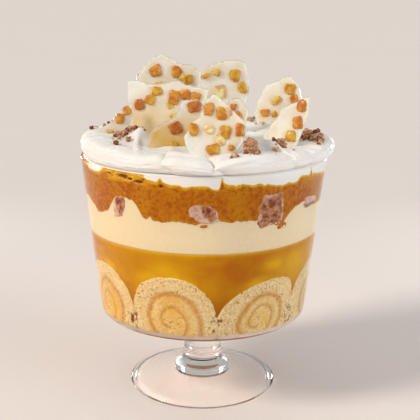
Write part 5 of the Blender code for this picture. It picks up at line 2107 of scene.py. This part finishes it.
@dataclass
class Studio:
    """Floor, soft light and camera."""

    distance: float = 0.7609
    height: float = 0.3528
    pitch: float = 14.36
    roll: float = 0.0075
    lens: float = 77.1
    shift: float = 0.0157
    floor_side: float = 60.0
    world: Colour = (0.95, 0.93, 0.91)
    world_strength: float = 0.46
    aim: float = 0.14
    floor_drop: float = 0.0002
    suns: tuple[Lamp, ...] = (
        Lamp("key", "SUN", (-1.35, -0.55, 0.98), 2.05, (1.0, 0.925, 0.83), {"angle": math.radians(17.0)}),
        Lamp("fill", "SUN", (1.40, -0.80, 0.52), 1.22, (0.87, 0.93, 1.0), {"angle": math.radians(40.0)}),
    )
    boxes: tuple[Lamp, ...] = (
        Lamp("left_edge", "AREA", (-0.62, 1.05, 0.22), 0.16, (1.0, 0.97, 0.93),
             {"size": 0.16, "spread": math.radians(40.0)}),
        Lamp("right_edge", "AREA", (0.62, 1.02, 0.22), 0.16, (0.95, 0.97, 1.0),
             {"size": 0.16, "spread": math.radians(40.0)}),
    )

    def build(self, finish: FloorFinish) -> None:
        """Lay the floor, hang the lights and set the camera.

        Args:
            finish: The floor's finish.
        """
        half = self.floor_side / 2
        corners = np.array([(-half, -half, 0), (half, -half, 0), (half, half, 0), (-half, half, 0)])
        floor = make_object("floor", corners - UP * self.floor_drop, [(0, 1, 2, 3)])
        floor.data.materials.append(finish.make())
        for sun in self.suns:
            sun.light(Vector((0, 0, 0)))
        for box in self.boxes:
            box.light(Vector((0, 0, self.aim)))
        scene = bpy.context.scene
        world = bpy.data.worlds.new("studio")
        world.use_nodes = True
        backdrop = world.node_tree.nodes["Background"]
        backdrop.inputs["Color"].default_value = (*self.world, 1.0)
        backdrop.inputs["Strength"].default_value = self.world_strength
        scene.world = world
        scene.view_settings.view_transform = "Standard"
        lens = bpy.data.cameras.new("camera")
        lens.lens, lens.sensor_width, lens.shift_x = self.lens, 36.0, self.shift
        lens.clip_start, lens.clip_end = 0.01, 200.0
        camera = bpy.data.objects.new("camera", lens)
        tilt = Matrix.Rotation(math.radians(90.0 - self.pitch), 4, "X")
        place = Matrix.Translation((0.0, -self.distance, self.height))
        camera.matrix_world = place @ tilt @ Matrix.Rotation(self.roll, 4, "Z")
        scene.collection.objects.link(camera)
        scene.camera = camera


# ---- the whole trifle -----------------------------------------------------------------------
def report(pieces: Sequence[Piece]) -> None:
    """Log each piece and its size in faces."""
    for piece in pieces:
        LOG.info("%s: %d faces", piece.name, len(piece.data.polygons))


def surface_of(piece: Piece) -> BVHTree:
    """A piece's surface, for resting other pieces on it."""
    points = [vertex.co for vertex in piece.data.vertices]
    return BVHTree.FromPolygons(points, [tuple(face.vertices) for face in piece.data.polygons])


def main() -> None:
    """Build the trifle round its frame."""
    logging.basicConfig(level=logging.INFO, format="%(message)s")
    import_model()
    Studio().build(FloorFinish("floor_pale", Surface(0.65, 0.3)))
    bowl = Bowl()
    report([bowl.build(GlassFinish("clear_glass", Surface(0.02)))])
    rolls = SwissRolls(bowl)
    report(rolls.build(SpongeFinish("sponge_crumb", Surface(0.6, 0.05, 0.0, 0.15, 0.002))))
    layers = Layers(bowl, rolls)
    wobbly = Surface(0.4, 0.05, 0.0, 0.2, 0.004, (1.0, 0.5, 0.1))
    report([layers.build_jelly(JellyFinish("amber_jelly", wobbly))])
    report([layers.build_custard(CustardFinish("set_custard", Surface(0.5, 0.05, 0.0, 0.1, 0.003)))])
    coulis = layers.build_coulis(CoulisFinish("orange_coulis", Surface(0.4, 0.06)))
    report([coulis])
    shards = Shards()
    cap = CreamCap(bowl, layers, collars=shards.collars())
    cream = cap.build(CreamFinish("whipped_cream_soft", Surface(0.48, 0.35, 0.0, 0.25, 0.004)))
    report([cream])
    report(shards.build(ChocolateFinish("white_chocolate_matt", Surface(0.42, 0.4, 0.0, 0.3, 0.004))))
    sticky = Surface(0.45, 0.45, 0.10, 0.2, 0.0015)
    peels = {shade: PeelFinish("peel_" + shade.name.lower(), sticky, shade.value).make() for shade in Peel}
    peel = CandiedPeel(shards)
    report(peel.build(peels))
    report([peel.build_small(peels)])
    amaretti = Amaretti(bowl)
    resting = surface_of(cream)
    matt = Surface(0.75, 0.2)
    report(amaretti.build_wall(SoakedFinish("amaretti_soaked", Surface(0.5, 0.06))))
    tan, dark, pale = (AmarettiFinish("amaretti_" + name, matt, *tones).make() for name, *tones in (
        ("crumb",),
        ("crust", (0.30, 0.085, 0.03), (0.50, 0.20, 0.08), (0.12, 0.02, 0.008)),
        ("pale", (0.74, 0.48, 0.27), (0.84, 0.64, 0.42), (0.50, 0.24, 0.10)),
    ))
    report(amaretti.build_top(tan, resting))
    report([amaretti.build_crumbs([dark, tan, pale], resting)])
    report([CoulisDrops(amaretti).build(coulis.data.materials[0])])


if __name__ == "__main__":
    main()
